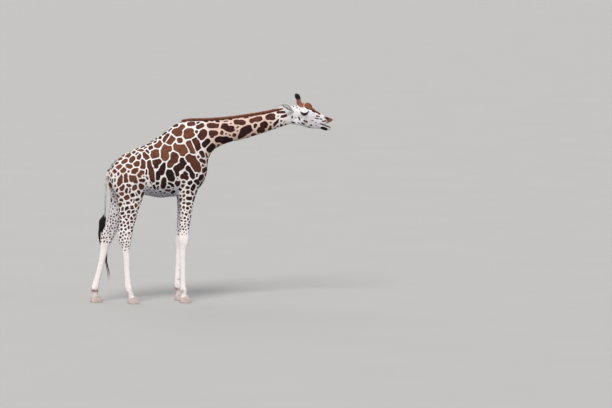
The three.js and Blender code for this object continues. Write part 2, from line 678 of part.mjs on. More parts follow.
/** One claw of a cloven hoof; `inner` is +1 for the claw on the left of the pair, -1 on the right. */
function clawSolid(stance, inner) {
  const foot = footOf(stance);
  const rowAt = smoothRows(CLAW_ROWS.map((row) => [row.z, row.toe, row.heel, row.outer, 0, 0]));
  const claw = new THREE.CylinderGeometry(1, 1, 1, 12, 4);
  claw.deleteAttribute("normal");
  claw.deleteAttribute("uv");
  const geometry = mergeVertices(claw, 1e-4);
  const position = geometry.getAttribute("position");
  for (let i = 0; i < position.count; i++) {
    const [cx, cy, cz] = [position.getX(i), position.getY(i), position.getZ(i)];
    const [z, toe, heel, outer] = rowAt(cy + 0.5);
    const reach = Math.hypot(cx, cz) < 0.5 ? 0 : 1;
    const angle = Math.atan2(cx, cz);
    const [c, s] = [Math.cos(angle), Math.sin(angle)];
    const x = c > 0 ? toe * c * reach : heel * c * reach;
    const half = (outer - HOOF_CLEFT / 2) / 2;
    const bow = Math.sign(s) * Math.abs(s) ** (s > 0 ? 0.75 : 0.34); // round outside, flat inside
    const narrow = 1 - 0.3 * Math.max(0, c) ** 2;
    const across = s > 0 ? bow * half * narrow : bow * half;
    position.setXYZ(i, x, inner * (HOOF_CLEFT / 2 + half + across * reach), z);
  }
  const turn = new THREE.Matrix4().makeRotationZ(THREE.MathUtils.degToRad(stance.side * stance.toe));
  const solid = placed(geometry, turn.setPosition(foot.x, foot.y, 0));
  return solid.subtract(blockOver(foot.x, HOOF_HEIGHT, foot.y, HOOF_SLOPE, -CUT));
}

/** The block under a leg's coronet, which the flesh stops at. */
function underCoronet(stance) {
  const foot = footOf(stance);
  const size = 300;
  const box = new THREE.BoxGeometry(size, size, size).translate(0, 0, -size / 2);
  const turn = new THREE.Matrix4().makeRotationY(-Math.atan(HOOF_SLOPE));
  return placed(box, turn.setPosition(foot.x, foot.y, HOOF_HEIGHT));
}

// ---------------------------------------------------------------- the animal

const spine = bodyLoft(SPINE, 24, 42);
const headLoft = bodyLoft(HEAD, 24, 24);
const legs = Object.fromEntries(
  Object.entries(STANCE).map(([name, stance]) => [name, legLoft(stance).subtract(underCoronet(stance))]),
);
const tail = tailLoft();
const flesh = join([spine, headLoft, tail, ...Object.values(legs)]);

const cuts = [
  NECK_CUT,
  HEAD_CUT,
  TAIL_CUT,
  FORELEG_CUT,
  HINDLEG_CUT,
];
const parted = cuts.reduce((whole, cut) => whole.subtract(slab(cut)), flesh).decompose();

/** Of some solids, the one whose box has its middle nearest the place of a piece. */
function nearest(solids, name) {
  const place = new THREE.Vector3(...PIECE_AT[name]);
  const far = (solid) => {
    const { min, max } = solid.boundingBox();
    return place.distanceTo(new THREE.Vector3(...min).add(new THREE.Vector3(...max)).multiplyScalar(0.5));
  };
  return solids.reduce((best, solid) => (far(solid) < far(best) ? solid : best));
}

const head = largest(headSolid(nearest(parted, "head")));
const headSkin = join([bodyLoft(grown(HEAD), 24, 24), ...crownSolids(CUT)]);

/** The same sections, larger all round by the cutting gap. */
function grown(sections) {
  return sections.map((s) => {
    const [dx, dz] = [s.top[0] - s.bottom[0], s.top[1] - s.bottom[1]];
    const long = Math.hypot(dx, dz);
    const [ux, uz] = [(dx / long) * CUT, (dz / long) * CUT];
    return {
      ...s,
      top: [s.top[0] + ux, s.top[1] + uz],
      bottom: [s.bottom[0] - ux, s.bottom[1] - uz],
      half: s.half + CUT,
    };
  });
}

const nodes = [];
const node = (name, solid, look) => nodes.push({ name, solid: largest(solid), look });

const LOOKS = {
  coat: { color: 0xcaa58a, roughness: 0.85, metalness: 0 },
  hair: { color: 0x4a2413, roughness: 0.8, metalness: 0 },
  tassel: { color: 0x14100f, roughness: 0.7, metalness: 0 },
  eye: { color: 0x120c0a, roughness: 0.1, metalness: 0 },
  tongue: { color: 0x2b2430, roughness: 0.5, metalness: 0 },
  hoof: { color: 0x6f5f55, roughness: 0.6, metalness: 0 },
};

node("torso", nearest(parted, "torso"), LOOKS.coat);
const mane = join(maneSolids()).subtract(behind(NECK_CUT)).subtract(slab(HEAD_CUT));
const neckHalves = nearest(parted, "neck").add(mane).subtract(slab(NECK_MIDDLE_CUT)).decompose();
node("neck_lower", nearest(neckHalves, "neck_lower"), LOOKS.coat);
node("neck_upper", nearest(neckHalves, "neck_upper"), LOOKS.coat);
node("head", head, LOOKS.coat);
const tailHalves = join([nearest(parted, "tail"), ...tasselSolids()])
  .subtract(slab(TASSEL_CUT, TASSEL[0].at[1]))
  .decompose();
node("tail", nearest(tailHalves, "tail"), LOOKS.coat);
node("tail_tassel", nearest(tailHalves, "tail_tassel"), LOOKS.tassel);
for (const leg of Object.keys(STANCE)) node("leg_" + leg, nearest(parted, "leg_" + leg), LOOKS.coat);
node("tongue", tongueSolid(), LOOKS.tongue);
for (const [name, side] of [["right", -1], ["left", 1]]) {
  node("ear_" + name, earSolid(side, headSkin), LOOKS.coat);
  node("ossicone_" + name, ossiconeSolid(side, headSkin), LOOKS.hair);
  node("eye_" + name, egg(onSide(EYE_AT, side), EYE_RADIUS, EYE_RADIUS, EYE_RADIUS, 0, 14, 10), LOOKS.eye);
}
for (const [name, stance] of Object.entries(STANCE)) {
  node(`hoof_${name}_inner`, clawSolid(stance, -stance.side), LOOKS.hoof);
  node(`hoof_${name}_outer`, clawSolid(stance, stance.side), LOOKS.hoof);
}

const giraffe = new THREE.Group();
for (const { name, solid, look } of nodes) {
  const mesh = new THREE.Mesh(geometryOf(solid), new THREE.MeshStandardMaterial(look));
  mesh.name = name;
  giraffe.add(mesh);
}

// The origin goes on the floor under the middle of the box round the whole animal.
const box = new THREE.Box3().setFromObject(giraffe);
giraffe.position.set(-(box.min.x + box.max.x) / 2, -(box.min.y + box.max.y) / 2, -box.min.z);

export default giraffe;
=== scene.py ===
"""A young giraffe cow, life size: one skin over the whole body, a patched coat of short tufts, an upright
mane, a tasselled tail, eyes with lids and lashes, ossicones, ears, tongue and cloven hooves.

Tables are in millimetres in the animal's own frame: X forwards, Y to its left, Z up from the floor.
at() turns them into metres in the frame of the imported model.
"""

import json
import math

import bmesh
import bpy
import numpy as np
from bpy.props import FloatProperty, FloatVectorProperty, IntProperty, PointerProperty
from mathutils import Matrix, Vector, noise
from mathutils.bvhtree import BVHTree

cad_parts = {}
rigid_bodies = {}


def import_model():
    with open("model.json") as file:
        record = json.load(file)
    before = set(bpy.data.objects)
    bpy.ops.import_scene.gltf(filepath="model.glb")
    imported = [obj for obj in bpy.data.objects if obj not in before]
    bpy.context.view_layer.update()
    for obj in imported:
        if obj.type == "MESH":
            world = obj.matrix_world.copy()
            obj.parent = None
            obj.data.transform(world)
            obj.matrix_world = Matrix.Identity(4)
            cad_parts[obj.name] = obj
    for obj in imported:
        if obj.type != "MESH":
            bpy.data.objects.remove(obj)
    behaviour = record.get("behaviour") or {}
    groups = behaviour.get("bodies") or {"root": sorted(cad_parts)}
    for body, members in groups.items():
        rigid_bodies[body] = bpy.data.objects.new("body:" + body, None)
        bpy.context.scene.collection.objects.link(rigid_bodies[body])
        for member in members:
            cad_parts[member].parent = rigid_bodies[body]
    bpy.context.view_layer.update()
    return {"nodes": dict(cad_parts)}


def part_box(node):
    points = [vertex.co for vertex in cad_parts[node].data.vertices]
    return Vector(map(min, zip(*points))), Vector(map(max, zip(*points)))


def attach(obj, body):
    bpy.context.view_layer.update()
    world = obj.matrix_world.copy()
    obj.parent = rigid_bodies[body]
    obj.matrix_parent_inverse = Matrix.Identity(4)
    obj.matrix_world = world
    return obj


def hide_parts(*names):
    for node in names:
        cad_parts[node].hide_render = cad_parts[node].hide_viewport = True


bl_info = {
    "name": "Museum giraffe",
    "version": (1, 0, 0),
    "blender": (4, 5, 0),
    "location": "3D View > Sidebar > Giraffe",
    "description": "Dresses the packed giraffe in skin, patched coat, mane, tassel, eyes and hooves",
    "category": "Object",
}

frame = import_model()

# ------------------------------------------------------------------ the animal's frame

MM = 0.001
EYE_AT = (1960, 78, 2530)  # the middle of the left eye; the right one is its mirror image
EYE_RADIUS = 28
SIDES = {"right": -1, "left": 1}


def middle_of(node):
    low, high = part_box(node)
    return (low + high) / 2


ORIGIN = Vector(EYE_AT) * MM - middle_of("eye_left")


def at(x, y, z):
    """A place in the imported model's frame, in metres, from one in millimetres in the animal's."""
    return Vector((x, y, z)) * MM - ORIGIN


def in_mm(points):
    """Rows of places in metres, back in the animal's own millimetres."""
    return (np.asarray(points) + np.array(ORIGIN)) / MM


# Trunk and neck, rump to poll: upper and lower edge in the mid-plane, half width, how far the widest
# part is shifted up (+) or down (-), and squareness.
SPINE = (
    (-701, 1726, -700, 1650, 34, 0, 2),
    (-688, 1786, -690, 1573, 98, 0, 2),
    (-640, 1857, -642, 1518, 152, 0, 2.1),
    (-560, 1946, -567, 1484, 194, -0.04, 2.2),
    (-451, 2021, -458, 1468, 222, -0.08, 2.2),
    (-314, 2084, -314, 1466, 245, -0.1, 2.2),
    (-164, 2146, -164, 1442, 270, -0.12, 2.15),
    (-27, 2226, -14, 1410, 282, -0.16, 2.1),
    (96, 2315, 160, 1420, 268, -0.22, 2.05),
    (212, 2397, 334, 1436, 238, -0.26, 2),
    (314, 2438, 488, 1490, 206, -0.22, 2),
    (410, 2440, 594, 1604, 180, -0.16, 2),
    (513, 2441, 641, 1745, 152, -0.12, 2),
    (615, 2442, 660, 1912, 128, -0.08, 2),
    (724, 2445, 740, 2044, 112, -0.05, 2.05),
    (888, 2455, 923, 2134, 100, 0, 2.1),
    (1093, 2478, 1134, 2181, 91, 0, 2.1),
    (1298, 2505, 1339, 2238, 84, 0, 2.1),
    (1476, 2535, 1517, 2294, 79, 0, 2.1),
    (1627, 2568, 1668, 2346, 76, 0.02, 2.1),
    (1740, 2598, 1787, 2376, 76, 0.04, 2.1),
    (1806, 2606, 1838, 2385, 62, 0.04, 2.1),
)
# The head, from inside the poll to the lips, in the same terms.
HEAD = (
    (1700, 2578, 1752, 2384, 60, 0.05, 2.1),
    (1762, 2608, 1800, 2379, 80, 0.1, 2.2),
    (1832, 2632, 1859, 2374, 90, 0.16, 2.3),
    (1907, 2642, 1920, 2362, 94, 0.22, 2.4),
    (1982, 2636, 1978, 2342, 92, 0.26, 2.5),
    (2050, 2621, 2035, 2324, 83, 0.26, 2.5),
    (2107, 2588, 2091, 2317, 70, 0.22, 2.5),
    (2168, 2550, 2146, 2314, 60, 0.14, 2.4),
    (2228, 2506, 2201, 2308, 55, 0.06, 2.3),
    (2283, 2478, 2250, 2291, 57, 0.04, 2.3),
    (2326, 2461, 2289, 2286, 56, 0.06, 2.3),
    (2354, 2449, 2317, 2296, 47, 0.08, 2.3),
    (2368, 2438, 2335, 2316, 35, 0.1, 2.2),
    (2373, 2426, 2343, 2342, 19, 0.1, 2),
)
# Legs, top to bottom: height, half depth fore and aft, half width, squareness.
FORELEG = (
    (2120, 100, 20, 2), (2010, 160, 44, 2), (1860, 190, 73, 2.1), (1680, 182, 92, 2.1),
    (1521, 143, 84, 2.1), (1385, 104, 68, 2.1), (1222, 87, 57, 2.1), (1046, 75, 49, 2.2),
    (940, 72, 50, 2.3), (872, 77, 54, 2.4), (800, 70, 50, 2.4), (735, 54, 40, 2.3),
    (660, 48, 35, 2.2), (436, 43, 33, 2.2), (260, 43, 36, 2.2), (172, 48, 44, 2.2),
    (110, 43, 41, 2.2), (40, 52, 46, 2.2),
)
HINDLEG = (
    (1900, 90, 24, 2), (1774, 172, 64, 2), (1598, 216, 96, 2.1), (1434, 178, 90, 2.1),
    (1285, 140, 76, 2.1), (1149, 119, 62, 2.1), (1027, 105, 51, 2.2), (919, 101, 49, 2.3),
    (824, 84, 48, 2.3), (729, 61, 40, 2.2), (552, 48, 34, 2.2), (376, 46, 33, 2.2),
    (250, 50, 37, 2.2), (172, 52, 44, 2.2), (105, 46, 41, 2.2), (40, 52, 46, 2.2),
)
# Where the middle of each leg stands, fore and aft, at the heights of its sections, and its distance
# from the mid-plane at the top and at the foot.
STANCE = {
    "fore_right": (
        FORELEG, -1,
        (350, 368, 390, 384, 362, 350, 336, 317, 307, 303, 301, 294, 292, 291, 291, 295, 301, 305),
        (128, 152),
    ),
    "fore_left": (
        FORELEG, 1,
        (350, 368, 390, 384, 362, 351, 342, 324, 316, 309, 297, 286, 280, 270, 257, 262, 276, 286),
        (128, 152),
    ),
    "hind_right": (
        HINDLEG, -1,
        (-400, -450, -442, -418, -435, -450, -474, -489, -488, -479, -466, -460, -450, -437, -412, -392),
        (120, 132),
    ),
    "hind_left": (
        HINDLEG, 1,
        (-400, -452, -458, -476, -520, -566, -626, -681, -710, -736, -773, -818, -854, -871, -866, -862),
        (120, 132),
    ),
}
# The tail: its middle line and its radius.
TAIL = (
    (-640, 0, 1782, 30), (-684, 0, 1772, 26), (-712, 1, 1726, 16), (-722, 5, 1650, 11.5),
    (-727, 12, 1550, 10), (-729, 24, 1450, 9.5), (-730, 48, 1330, 9), (-730, 84, 1235, 9),
    (-733, 118, 1160, 8),
)
# The tassel: its middle line, its half width fore and aft, and half its thickness.
TASSEL = (
    (-731, 92, 1218, 8, 6), (-742, 150, 1105, 31, 13), (-745, 206, 985, 34, 15), (-738, 224, 850, 34, 15),
    (-712, 228, 650, 34, 13), (-690, 228, 480, 40, 11), (-668, 228, 240, 78, 10),
)

BROW_TILT = 0.22
BROW = (74, 30, 48)  # half sizes of the swelling round the eye: long, wide, tall
LID = 6
# The opening between the lids curves up at both ends, under a heavy upper lid: its half length and half
# height, how far its middle lies from the eye's, and how sharply it curves.
LID_OPENING = {"long": 29, "tall": 9.5, "low": -9, "curve": 0.0105}
NOSTRIL = {"at": (2278, 48, 2452), "size": (19, 17, 6.5), "tilt": 0.42, "rim": (29, 15, 16)}
# The bump in the middle of the forehead and the swelling behind it: place, half sizes, tilt.
CROWN = (((2025, 0, 2611), (65, 48, 56), 0.45), ((1970, 0, 2620), (62, 52, 44), 0.0))
MOUTH = {"corner": (2184, 2394), "lips": (2340, 2339), "sag": 5, "open": 7, "closed": 3.5}
LIP_RAISED = ((2262, 2350), (2420, 2462))  # where the upper lip's underside bends, and where it runs on to
EAR_ROOT = (1816, 70, 2552)
EAR_TIP = {"right": (1612, 170, 2670), "left": (1640, 205, 2576)}
OSSICONE_ROOT = (1928, 36, 2596)
OSSICONE_TIP = (1882, 51, 2766)
OSSICONE = ((0, 37), (0.22, 33), (0.42, 24), (0.7, 19.5), (0.9, 21), (1, 16))  # part of its length, radius
MANE = (306, 1690)  # where the mane begins and ends, along X

# ------------------------------------------------------------------ the camera

PICTURE = (612, 408)
STEP = 13.5  # one step of the camera's picture, in millimetres where the animal stands
TURN = math.radians(9)  # the camera looks across the animal, turned this much towards its head
DOWN = math.radians(5)  # and this much down
DISTANCE = 45.0
AIM = (683.4, 0, 1364.8)  # a point of the mid-plane, which shows at AIM_SHOWS
AIM_SHOWS = (210, 200)

VIEW = Vector((math.sin(TURN) * math.cos(DOWN), math.cos(TURN) * math.cos(DOWN), -math.sin(DOWN)))
RIGHT = Vector((math.cos(TURN), -math.sin(TURN), 0))
UP = RIGHT.cross(VIEW)
EYE_POINT = at(*AIM) - VIEW * DISTANCE
TARGET = (
    at(*AIM)
    + RIGHT * (PICTURE[0] / 2 - AIM_SHOWS[0]) * STEP * MM
    - UP * (PICTURE[1] / 2 - AIM_SHOWS[1]) * STEP * MM
)
REACH = (TARGET - EYE_POINT).length / (STEP * MM)  # focal length, in those steps
CAMERA_TURN = (TARGET - EYE_POINT).to_track_quat("-Z", "Y")


def sight(px, py):
    """The direction in which the camera sees a place of its picture."""
    ray = Vector((px - PICTURE[0] / 2, PICTURE[1] / 2 - py, -REACH))
    return (CAMERA_TURN @ ray).normalized()


# ------------------------------------------------------------------ markings

# Patches of the right side: a tone from 0, light chestnut, to 1, nearly black, then one or more ovals
# that run together, each as its place in the camera's picture, half length, half height and tilt.
# The darker tones of the low patches of shoulder, flank and the neck's underside are partly the hair's own
# colour and partly painted shade.
NECK = (
    (0.55, (191.4, 123.9, 4.2, 2.2, 5)), (0.6, (200, 126.2, 4.2, 2.4, 25)),
    (0.6, (213, 125.6, 5.8, 2.6, 0)), (0.75, (228, 128.2, 6.8, 3.4, -12), (225, 125.5, 3, 2.2, 0)),
    (0.75, (226.4, 121.2, 3.2, 0.8, 8)), (0.6, (239.7, 122.3, 5.9, 2.6, -4)),
    (0.4, (246.7, 117.7, 2.8, 0.8, 8)), (0.55, (256, 119.8, 6.3, 2.7, 15)),
    (0.6, (270.7, 117, 5, 3.3, 8)), (0.7, (281, 112.3, 4.2, 1.5, 4)), (0.65, (283.7, 116, 3.4, 1.5, 12)),
    (0.35, (188.9, 133.7, 5.6, 5.1, 10)), (0.65, (202.5, 134.6, 5.4, 3.8, 55)),
    (0.6, (213.3, 133.4, 4.8, 2.9, -3), (212.4, 136, 2.4, 2, 0)), (0.95, (223.9, 140, 8.6, 3.8, -6)),
    (0.85, (246.2, 130.2, 6.6, 3.9, 25), (242, 134.8, 5.4, 2.6, 30)),
    (0.8, (264.3, 124.9, 3.8, 3.4, 30), (260.8, 130, 4, 3, 10)), (0.85, (276, 123, 4.6, 1.6, 48)),
    (0.4, (283.8, 122, 1.8, 1, 60)), (0.9, (275.5, 128.4, 1.6, 0.7, 5)),
    (0.9, (206.1, 143.1, 4.8, 3, 45)), (0.98, (211, 148, 4.8, 3.4, 45)),
    (0.95, (206.4, 155.3, 2.8, 1, -70)), (0.7, (201.6, 153.4, 4.6, 2.6, -55)),
    (0.65, (202.5, 160.9, 3.8, 2.1, -32)), (0.75, (204.4, 169.8, 3.2, 2.7, 20)),
    (0.9, (201.4, 177.6, 3.4, 2.9, 20), (197, 182.3, 3.6, 2.3, -50)), (0.9, (200.8, 183.9, 3.4, 0.9, 62)),
)
SHOULDER = (
    (0.35, (177.4, 132.4, 4.6, 3.8, 20), (181.6, 127.8, 3.2, 2.4, 50)), (0.35, (171, 140, 4.9, 3, 50)),
    (0.5, (166, 137.8, 4.4, 2, 60)), (0.4, (179.6, 141.2, 3.2, 2.7, 90)),
    (0.3, (180.8, 149.2, 7.1, 5, -35)), (0.4, (191.2, 147.6, 6.2, 3.1, -65)),
    (0.65, (196.7, 145.2, 6.8, 3.2, -70)),
    (0.5, (190.4, 158.2, 5, 3.7, -15), (196.2, 165.8, 6, 3.7, -60)),
    (0.5, (174.6, 157.2, 5.2, 3.7, 78), (170, 164, 4, 3, 60)),
    (0.85, (183, 161.5, 3.8, 2.7, -65), (179, 167.2, 5.2, 3, 30), (177, 173.4, 3.6, 1.8, -80)),
    (0.3, (167.4, 148, 4.6, 2.8, -15), (164.5, 155, 5.4, 3.8, -75)),
    (0.95, (170.3, 175.5, 5.8, 3.3, -75)), (0.92, (190.6, 172.5, 6.3, 2.4, -58)),
    (0.75, (184.6, 177, 3.6, 2.4, -20), (186.6, 173.2, 2.8, 1.4, -20)),
    (0.95, (190.3, 182.8, 2.2, 1.8, 40)), (0.8, (183.3, 185.9, 2, 1.8, 0)),
    (0.9, (186.9, 187.4, 2.4, 1.4, -10)), (0.95, (193.3, 187.3, 3.6, 1.8, 62)),
    (0.7, (188, 192, 2.2, 1.5, 10)), (0.85, (192, 193.1, 2.4, 1, -50)), (0.6, (183.9, 192, 1.6, 1.2, 0)),
    (0.7, (196.4, 192, 2.4, 0.9, 80)), (0.8, (189.2, 198.4, 2.7, 1.6, 0)),
    (0.5, (183.9, 195.6, 1.3, 1.4, 0)), (0.85, (193.9, 199.2, 2.7, 1.1, 75)),
    (0.7, (183.9, 202.8, 1.3, 1.1, 0)), (0.6, (188.6, 203.8, 2, 1.5, 0)),
    (0.9, (177.8, 178.7, 1.6, 1, -80)),
)
TRUNK_AND_RUMP = (
    (0.6, (170.5, 129.5, 2.6, 0.8, 45)), (0.75, (164.8, 133.5, 2.5, 1.1, 35)),
    (0.85, (160, 137.5, 1.5, 1.5, 0)), (0.9, (156, 138.8, 1.5, 1.1, 0)), (0.6, (155.2, 142, 2, 1.3, 20)),
    (0.7, (149.3, 144, 2.8, 0.9, 18)), (0.7, (143, 146.8, 2.5, 0.7, 20)),
    (0.75, (145.5, 147.8, 2, 0.8, 25)), (0.7, (137.3, 148.8, 2, 0.8, 35)),
    (0.5, (133.8, 152.3, 1.9, 1.3, 30)), (0.55, (137.5, 153.2, 2.6, 1, 45)),
    (0.5, (126.5, 152, 1.6, 0.7, 40)), (0.3, (122.8, 155.3, 2, 0.8, 30)),
    (0.35, (158.3, 144.6, 3.9, 2.7, 42)), (0.5, (150.8, 147.8, 2.3, 1.9, 20)),
    (0.65, (147.9, 152, 2.6, 1.5, -45)), (0.4, (140.8, 150.5, 3, 1.3, 5)),
    (0.35, (155.2, 153.8, 4.6, 3.9, 28)), (0.45, (145.8, 156.3, 4.4, 2.7, -50)),
    (0.45, (139.3, 156.8, 3.3, 2, 55)), (0.45, (128.3, 155, 2.9, 2.3, 60)),
    (0.4, (132.2, 159.5, 3.3, 2.5, 45)), (0.35, (125, 161.3, 3.3, 1.9, 35)),
    (0.35, (120, 158.8, 2.3, 1.4, 20)), (0.35, (116.5, 163.3, 2.1, 1.1, 20)),
    (0.65, (157.2, 162, 4.4, 2.8, 5), (156.5, 165.5, 2.6, 2.2, 90)),
    (0.6, (149.5, 164.5, 5, 2.2, -80), (151.8, 174.5, 6.8, 2.4, -80)), (0.45, (143, 164.5, 4.9, 2.4, 85)),
    (0.45, (137, 163.8, 3.1, 2.7, 30)), (0.35, (129, 166.3, 3.3, 2.1, -10)),
    (0.3, (119.5, 167, 2.9, 1.9, 30)), (0.35, (123.5, 170, 3, 2.4, 50)),
    (0.35, (114.8, 171.3, 2.1, 1.7, 30)), (0.35, (135, 171, 3.7, 2.7, 25)),
    (0.4, (128.8, 171.3, 1.5, 1.3, 0)), (0.9, (162.7, 168.5, 5.8, 2.9, 70), (158, 175.6, 4, 2.1, 80)),
    (0.4, (141, 173.5, 3.9, 2.8, 50)), (0.7, (146.3, 172.5, 3, 1.2, 80)),
    (0.8, (147, 177.5, 2.2, 1.1, -60)), (0.3, (118.5, 174, 1.8, 1.3, 80)),
    (0.4, (115.3, 176.5, 1.1, 1.1, 0)), (0.35, (111.5, 175, 1.8, 1.1, 80)),
    (0.9, (109.8, 173, 1, 0.9, 0)), (0.4, (125.8, 178.5, 4.5, 2.3, -80)),
    (0.35, (120.5, 180.5, 5.1, 2.2, 72)), (0.35, (132.6, 178.3, 3.6, 3, 0), (136, 181.8, 2, 1.6, 0)),
    (0.5, (142, 180.3, 3.1, 1.6, -5)), (0.6, (143.3, 176, 1.8, 1, -30)),
    (0.6, (114.8, 179.5, 1.9, 0.9, 85)), (0.6, (112.3, 180.8, 1.9, 0.9, 85)),
    (0.9, (110.5, 179.5, 1.5, 0.8, 80)), (0.45, (128.3, 185.3, 2.7, 1.6, -20)),
    (0.4, (122.5, 187.5, 3.1, 2.1, 45)), (0.4, (134.8, 187.5, 2.9, 2.1, 40)),
    (0.55, (141, 186.5, 2.7, 2.3, -40)), (0.8, (163.8, 183, 4.8, 2.3, 80)),
    (0.95, (157.5, 183.3, 1.8, 1.6, 0)), (0.9, (154.5, 187, 2.5, 1.1, -65)),
    (0.95, (158, 187.5, 2, 1, 80)), (0.9, (150.8, 183, 1.6, 0.7, -50)), (0.7, (151, 187.5, 1, 0.8, 0)),
    (0.9, (171.6, 184.4, 4, 1.4, -35)), (0.9, (168.4, 187.4, 1.6, 1.2, 0)),
    (0.55, (168, 190.2, 2.5, 1.2, -10)), (0.9, (173, 192, 2, 1.4, 30)), (0.6, (164.5, 193, 1.1, 0.8, 0)),
    (0.5, (160.5, 191.5, 1.1, 0.8, 0)), (0.4, (115.5, 185.8, 1.1, 1.3, 0)),
    (0.5, (117.3, 190, 1.9, 1.1, 60)), (0.6, (126.5, 190.5, 2.5, 1.4, 85)),
    (0.6, (130, 190.8, 2.5, 1, 75)), (0.35, (121.3, 194, 2.3, 1.7, 0)),
    (0.75, (139, 192.5, 2.1, 1.6, -50)), (0.7, (132.8, 195, 2.3, 1.6, 20)),
    (0.8, (136.3, 194, 2, 1, -60)), (0.4, (126.8, 197.5, 2.5, 2.1, 20)),
    (0.5, (118.3, 196, 1.7, 1.3, -30)), (0.5, (121.3, 200, 1.8, 1.4, 0)),
    (0.7, (131.3, 200.5, 1.4, 1.2, 0)), (0.8, (133.8, 200.5, 2, 0.8, 80)),
    (0.8, (137.3, 199.5, 1.8, 1.2, 20)), (0.5, (127.8, 202.8, 2, 1.2, 10)),
    (0.7, (124.3, 203.5, 1.1, 1, 0)), (0.8, (146, 183.3, 1.6, 0.8, 80)), (0.6, (144, 190.5, 1, 0.8, 0)),
    (0.6, (138.5, 203, 1.4, 0.9, 0)),
)
FACE = (
    (0.42, (308.6, 106.2, 4.4, 3.4, -25), (312.8, 109.4, 3.8, 1.9, -48), (317.6, 112.8, 3.6, 1.1, -32)),
    (0.6, (317.8, 116.3, 2.2, 1.1, -10)), (0.8, (319.2, 118.8, 4.6, 0.75, -10)),
    (0.75, (324, 120.9, 2.2, 1, 5)), (0.8, (292.2, 117.1, 0.8, 1.4, 0)),
    (0.85, (296.1, 117.8, 0.9, 0.8, 0)), (0.9, (299.2, 118.5, 2.2, 0.8, -60)),
    (0.85, (301.8, 118, 0.7, 0.8, 0)), (0.5, (305.6, 121.4, 2.6, 0.9, -22)),
    (0.4, (312.6, 120.8, 1.4, 0.5, 0)), (0.85, (293.4, 122.5, 2.5, 0.7, -12)),
    (0.85, (298.7, 123, 1.3, 0.6, -35)), (0.9, (303.1, 123.5, 2.2, 0.8, -25)),
    (0.8, (310.9, 125.2, 1.2, 0.9, 0)), (0.85, (309, 127, 1.4, 0.6, -20)),
    (0.4, (315.9, 122.3, 1.1, 0.45, 0)), (0.45, (316.2, 125.4, 1, 0.45, 0)),
    (0.6, (290.4, 107.4, 1, 0.7, 20)), (0.6, (293.4, 106.6, 1.1, 0.7, 0)),
    (0.6, (296.2, 105.9, 0.8, 0.7, 0)), (0.6, (297.4, 108, 0.9, 0.7, -50)),
    (0.5, (299.2, 109.2, 0.8, 0.6, 0)), (0.9, (324.1, 128.5, 3.6, 1.5, -15)),
    (0.4, (300.6, 125.6, 0.8, 0.5, 0)), (0.4, (287.4, 122.6, 0.8, 0.6, 0)),
)
GROWTH = {"neck": 1.08, "body": 1.24, "face": 1.0}  # how far past its oval a patch may spread
OFF_REACH = 1.3  # how far an oval reaches off the surface, in parts of its larger half size
DEEP_REACH = 2.6  # and along the camera's view, into the body
# How the left side's patches differ from the right's: turn in degrees, size, and shift along X and Z.
DIFFERENCES = (9, 0.05, 0.01, 0.01)
SPOT_TRIALS = 22000  # places tried for the spots between the patches


def half_apart(share, size):
    """How far each point lies from the middle between its two nearest patches."""
    return (share[1] - share[0]) * size[0] * size[1] / (size[0] + size[1] + 1e-9)


class Markings:
    """Ovals set on the skin, with what is needed to say how far any place is from a patch's edge."""

    def __init__(self):
        self.places, self.frames, self.spans, self.patch, self.tones = [], [], [], [], []

    def add(self, place, frame_rows, span, patch):
        """An oval. The rows turn an offset from its place into parts of its half sizes: along, across,
        off the surface and deep into the body."""
        self.places.append(np.array(place))
        self.frames.append(np.array([list(row) for row in frame_rows]))
        self.spans.append(span)
        self.patch.append(patch)

    def begin(self, tone):
        """Starts a patch of a tone, and gives its number."""
        self.tones.append(tone)
        return len(self.tones) - 1

    def reach(self, points, k):
        """How far each point lies from oval k, in parts of its size, and the size in that direction."""
        away = points - self.places[k]
        u, v, off, deep = (away @ self.frames[k].T).T
        share = np.sqrt(np.cbrt(np.abs(u) ** 3 + np.abs(v) ** 3) ** 2 + off**2 + deep**2) + 1e-6
        return share, (np.linalg.norm(away, axis=1) + 1e-6 * self.spans[k]) / share

    def nearest_two(self, points):
        """Of the two nearest patches of each point: shares, sizes and ovals, the nearest first."""
        count = len(points)
        order = np.argsort(points[:, 0])
        placed = points[order]
        share, size = np.full((2, count), 9.0), np.full((2, count), 0.03)
        oval, owner = np.full((2, count), -1), np.full(count, -1)
        for k, patch in enumerate(self.patch):
            place, span = self.places[k], DEEP_REACH * self.spans[k]
            low, high = np.searchsorted(placed[:, 0], (place[0] - span, place[0] + span))
            beside = np.abs(placed[low:high, 1:] - place[1:]) < span
            near = low + np.flatnonzero(beside[:, 0] & beside[:, 1])
            if not len(near):
                continue
            new_share, new_size = self.reach(placed[near], k)
            same = owner[near] == patch
            better = new_share < share[0, near]
            pushed = near[better & ~same]
            for rows in (share, size, oval):
                rows[1, pushed] = rows[0, pushed]
            between = ~better & ~same & (new_share < share[1, near])
            for rank, chosen in ((1, between), (0, better)):
                where = near[chosen]
                share[rank, where], size[rank, where] = new_share[chosen], new_size[chosen]
                oval[rank, where] = k
            owner[near[better]] = patch
        back = np.empty(count, int)
        back[order] = np.arange(count)
        return share[:, back], size[:, back], oval[:, back]

    def edges(self, points, line):
        """For each point: how far inside a patch it lies (+) or outside (-), in metres, and its tone."""
        share, size, oval = self.nearest_two(points)
        inside = (1 - share[0]) * size[0]
        apart = half_apart(share, size) - line / 2
        tones = np.array(self.tones)[np.array(self.patch)[oval[0]]]
        return np.minimum(inside, apart), np.where(oval[0] < 0, 0.4, tones)


MARKINGS = Markings()


def smooth_step(x, low, high):
    t = np.clip((x - low) / (high - low), 0, 1)
    return t * t * (3 - 2 * t)


def unit(rows):
    """Vectors brought to length one."""
    return rows / (np.linalg.norm(rows, axis=-1, keepdims=True) + 1e-9)


def columns(*parts):
    """Readings of the same places, side by side: a row for each place."""
    return np.stack(parts, axis=1)


def along_surface(ways, normals):
    """Directions laid flat on the surface that the normals stand on."""
    return unit(ways - normals * (ways * normals).sum(axis=-1, keepdims=True))


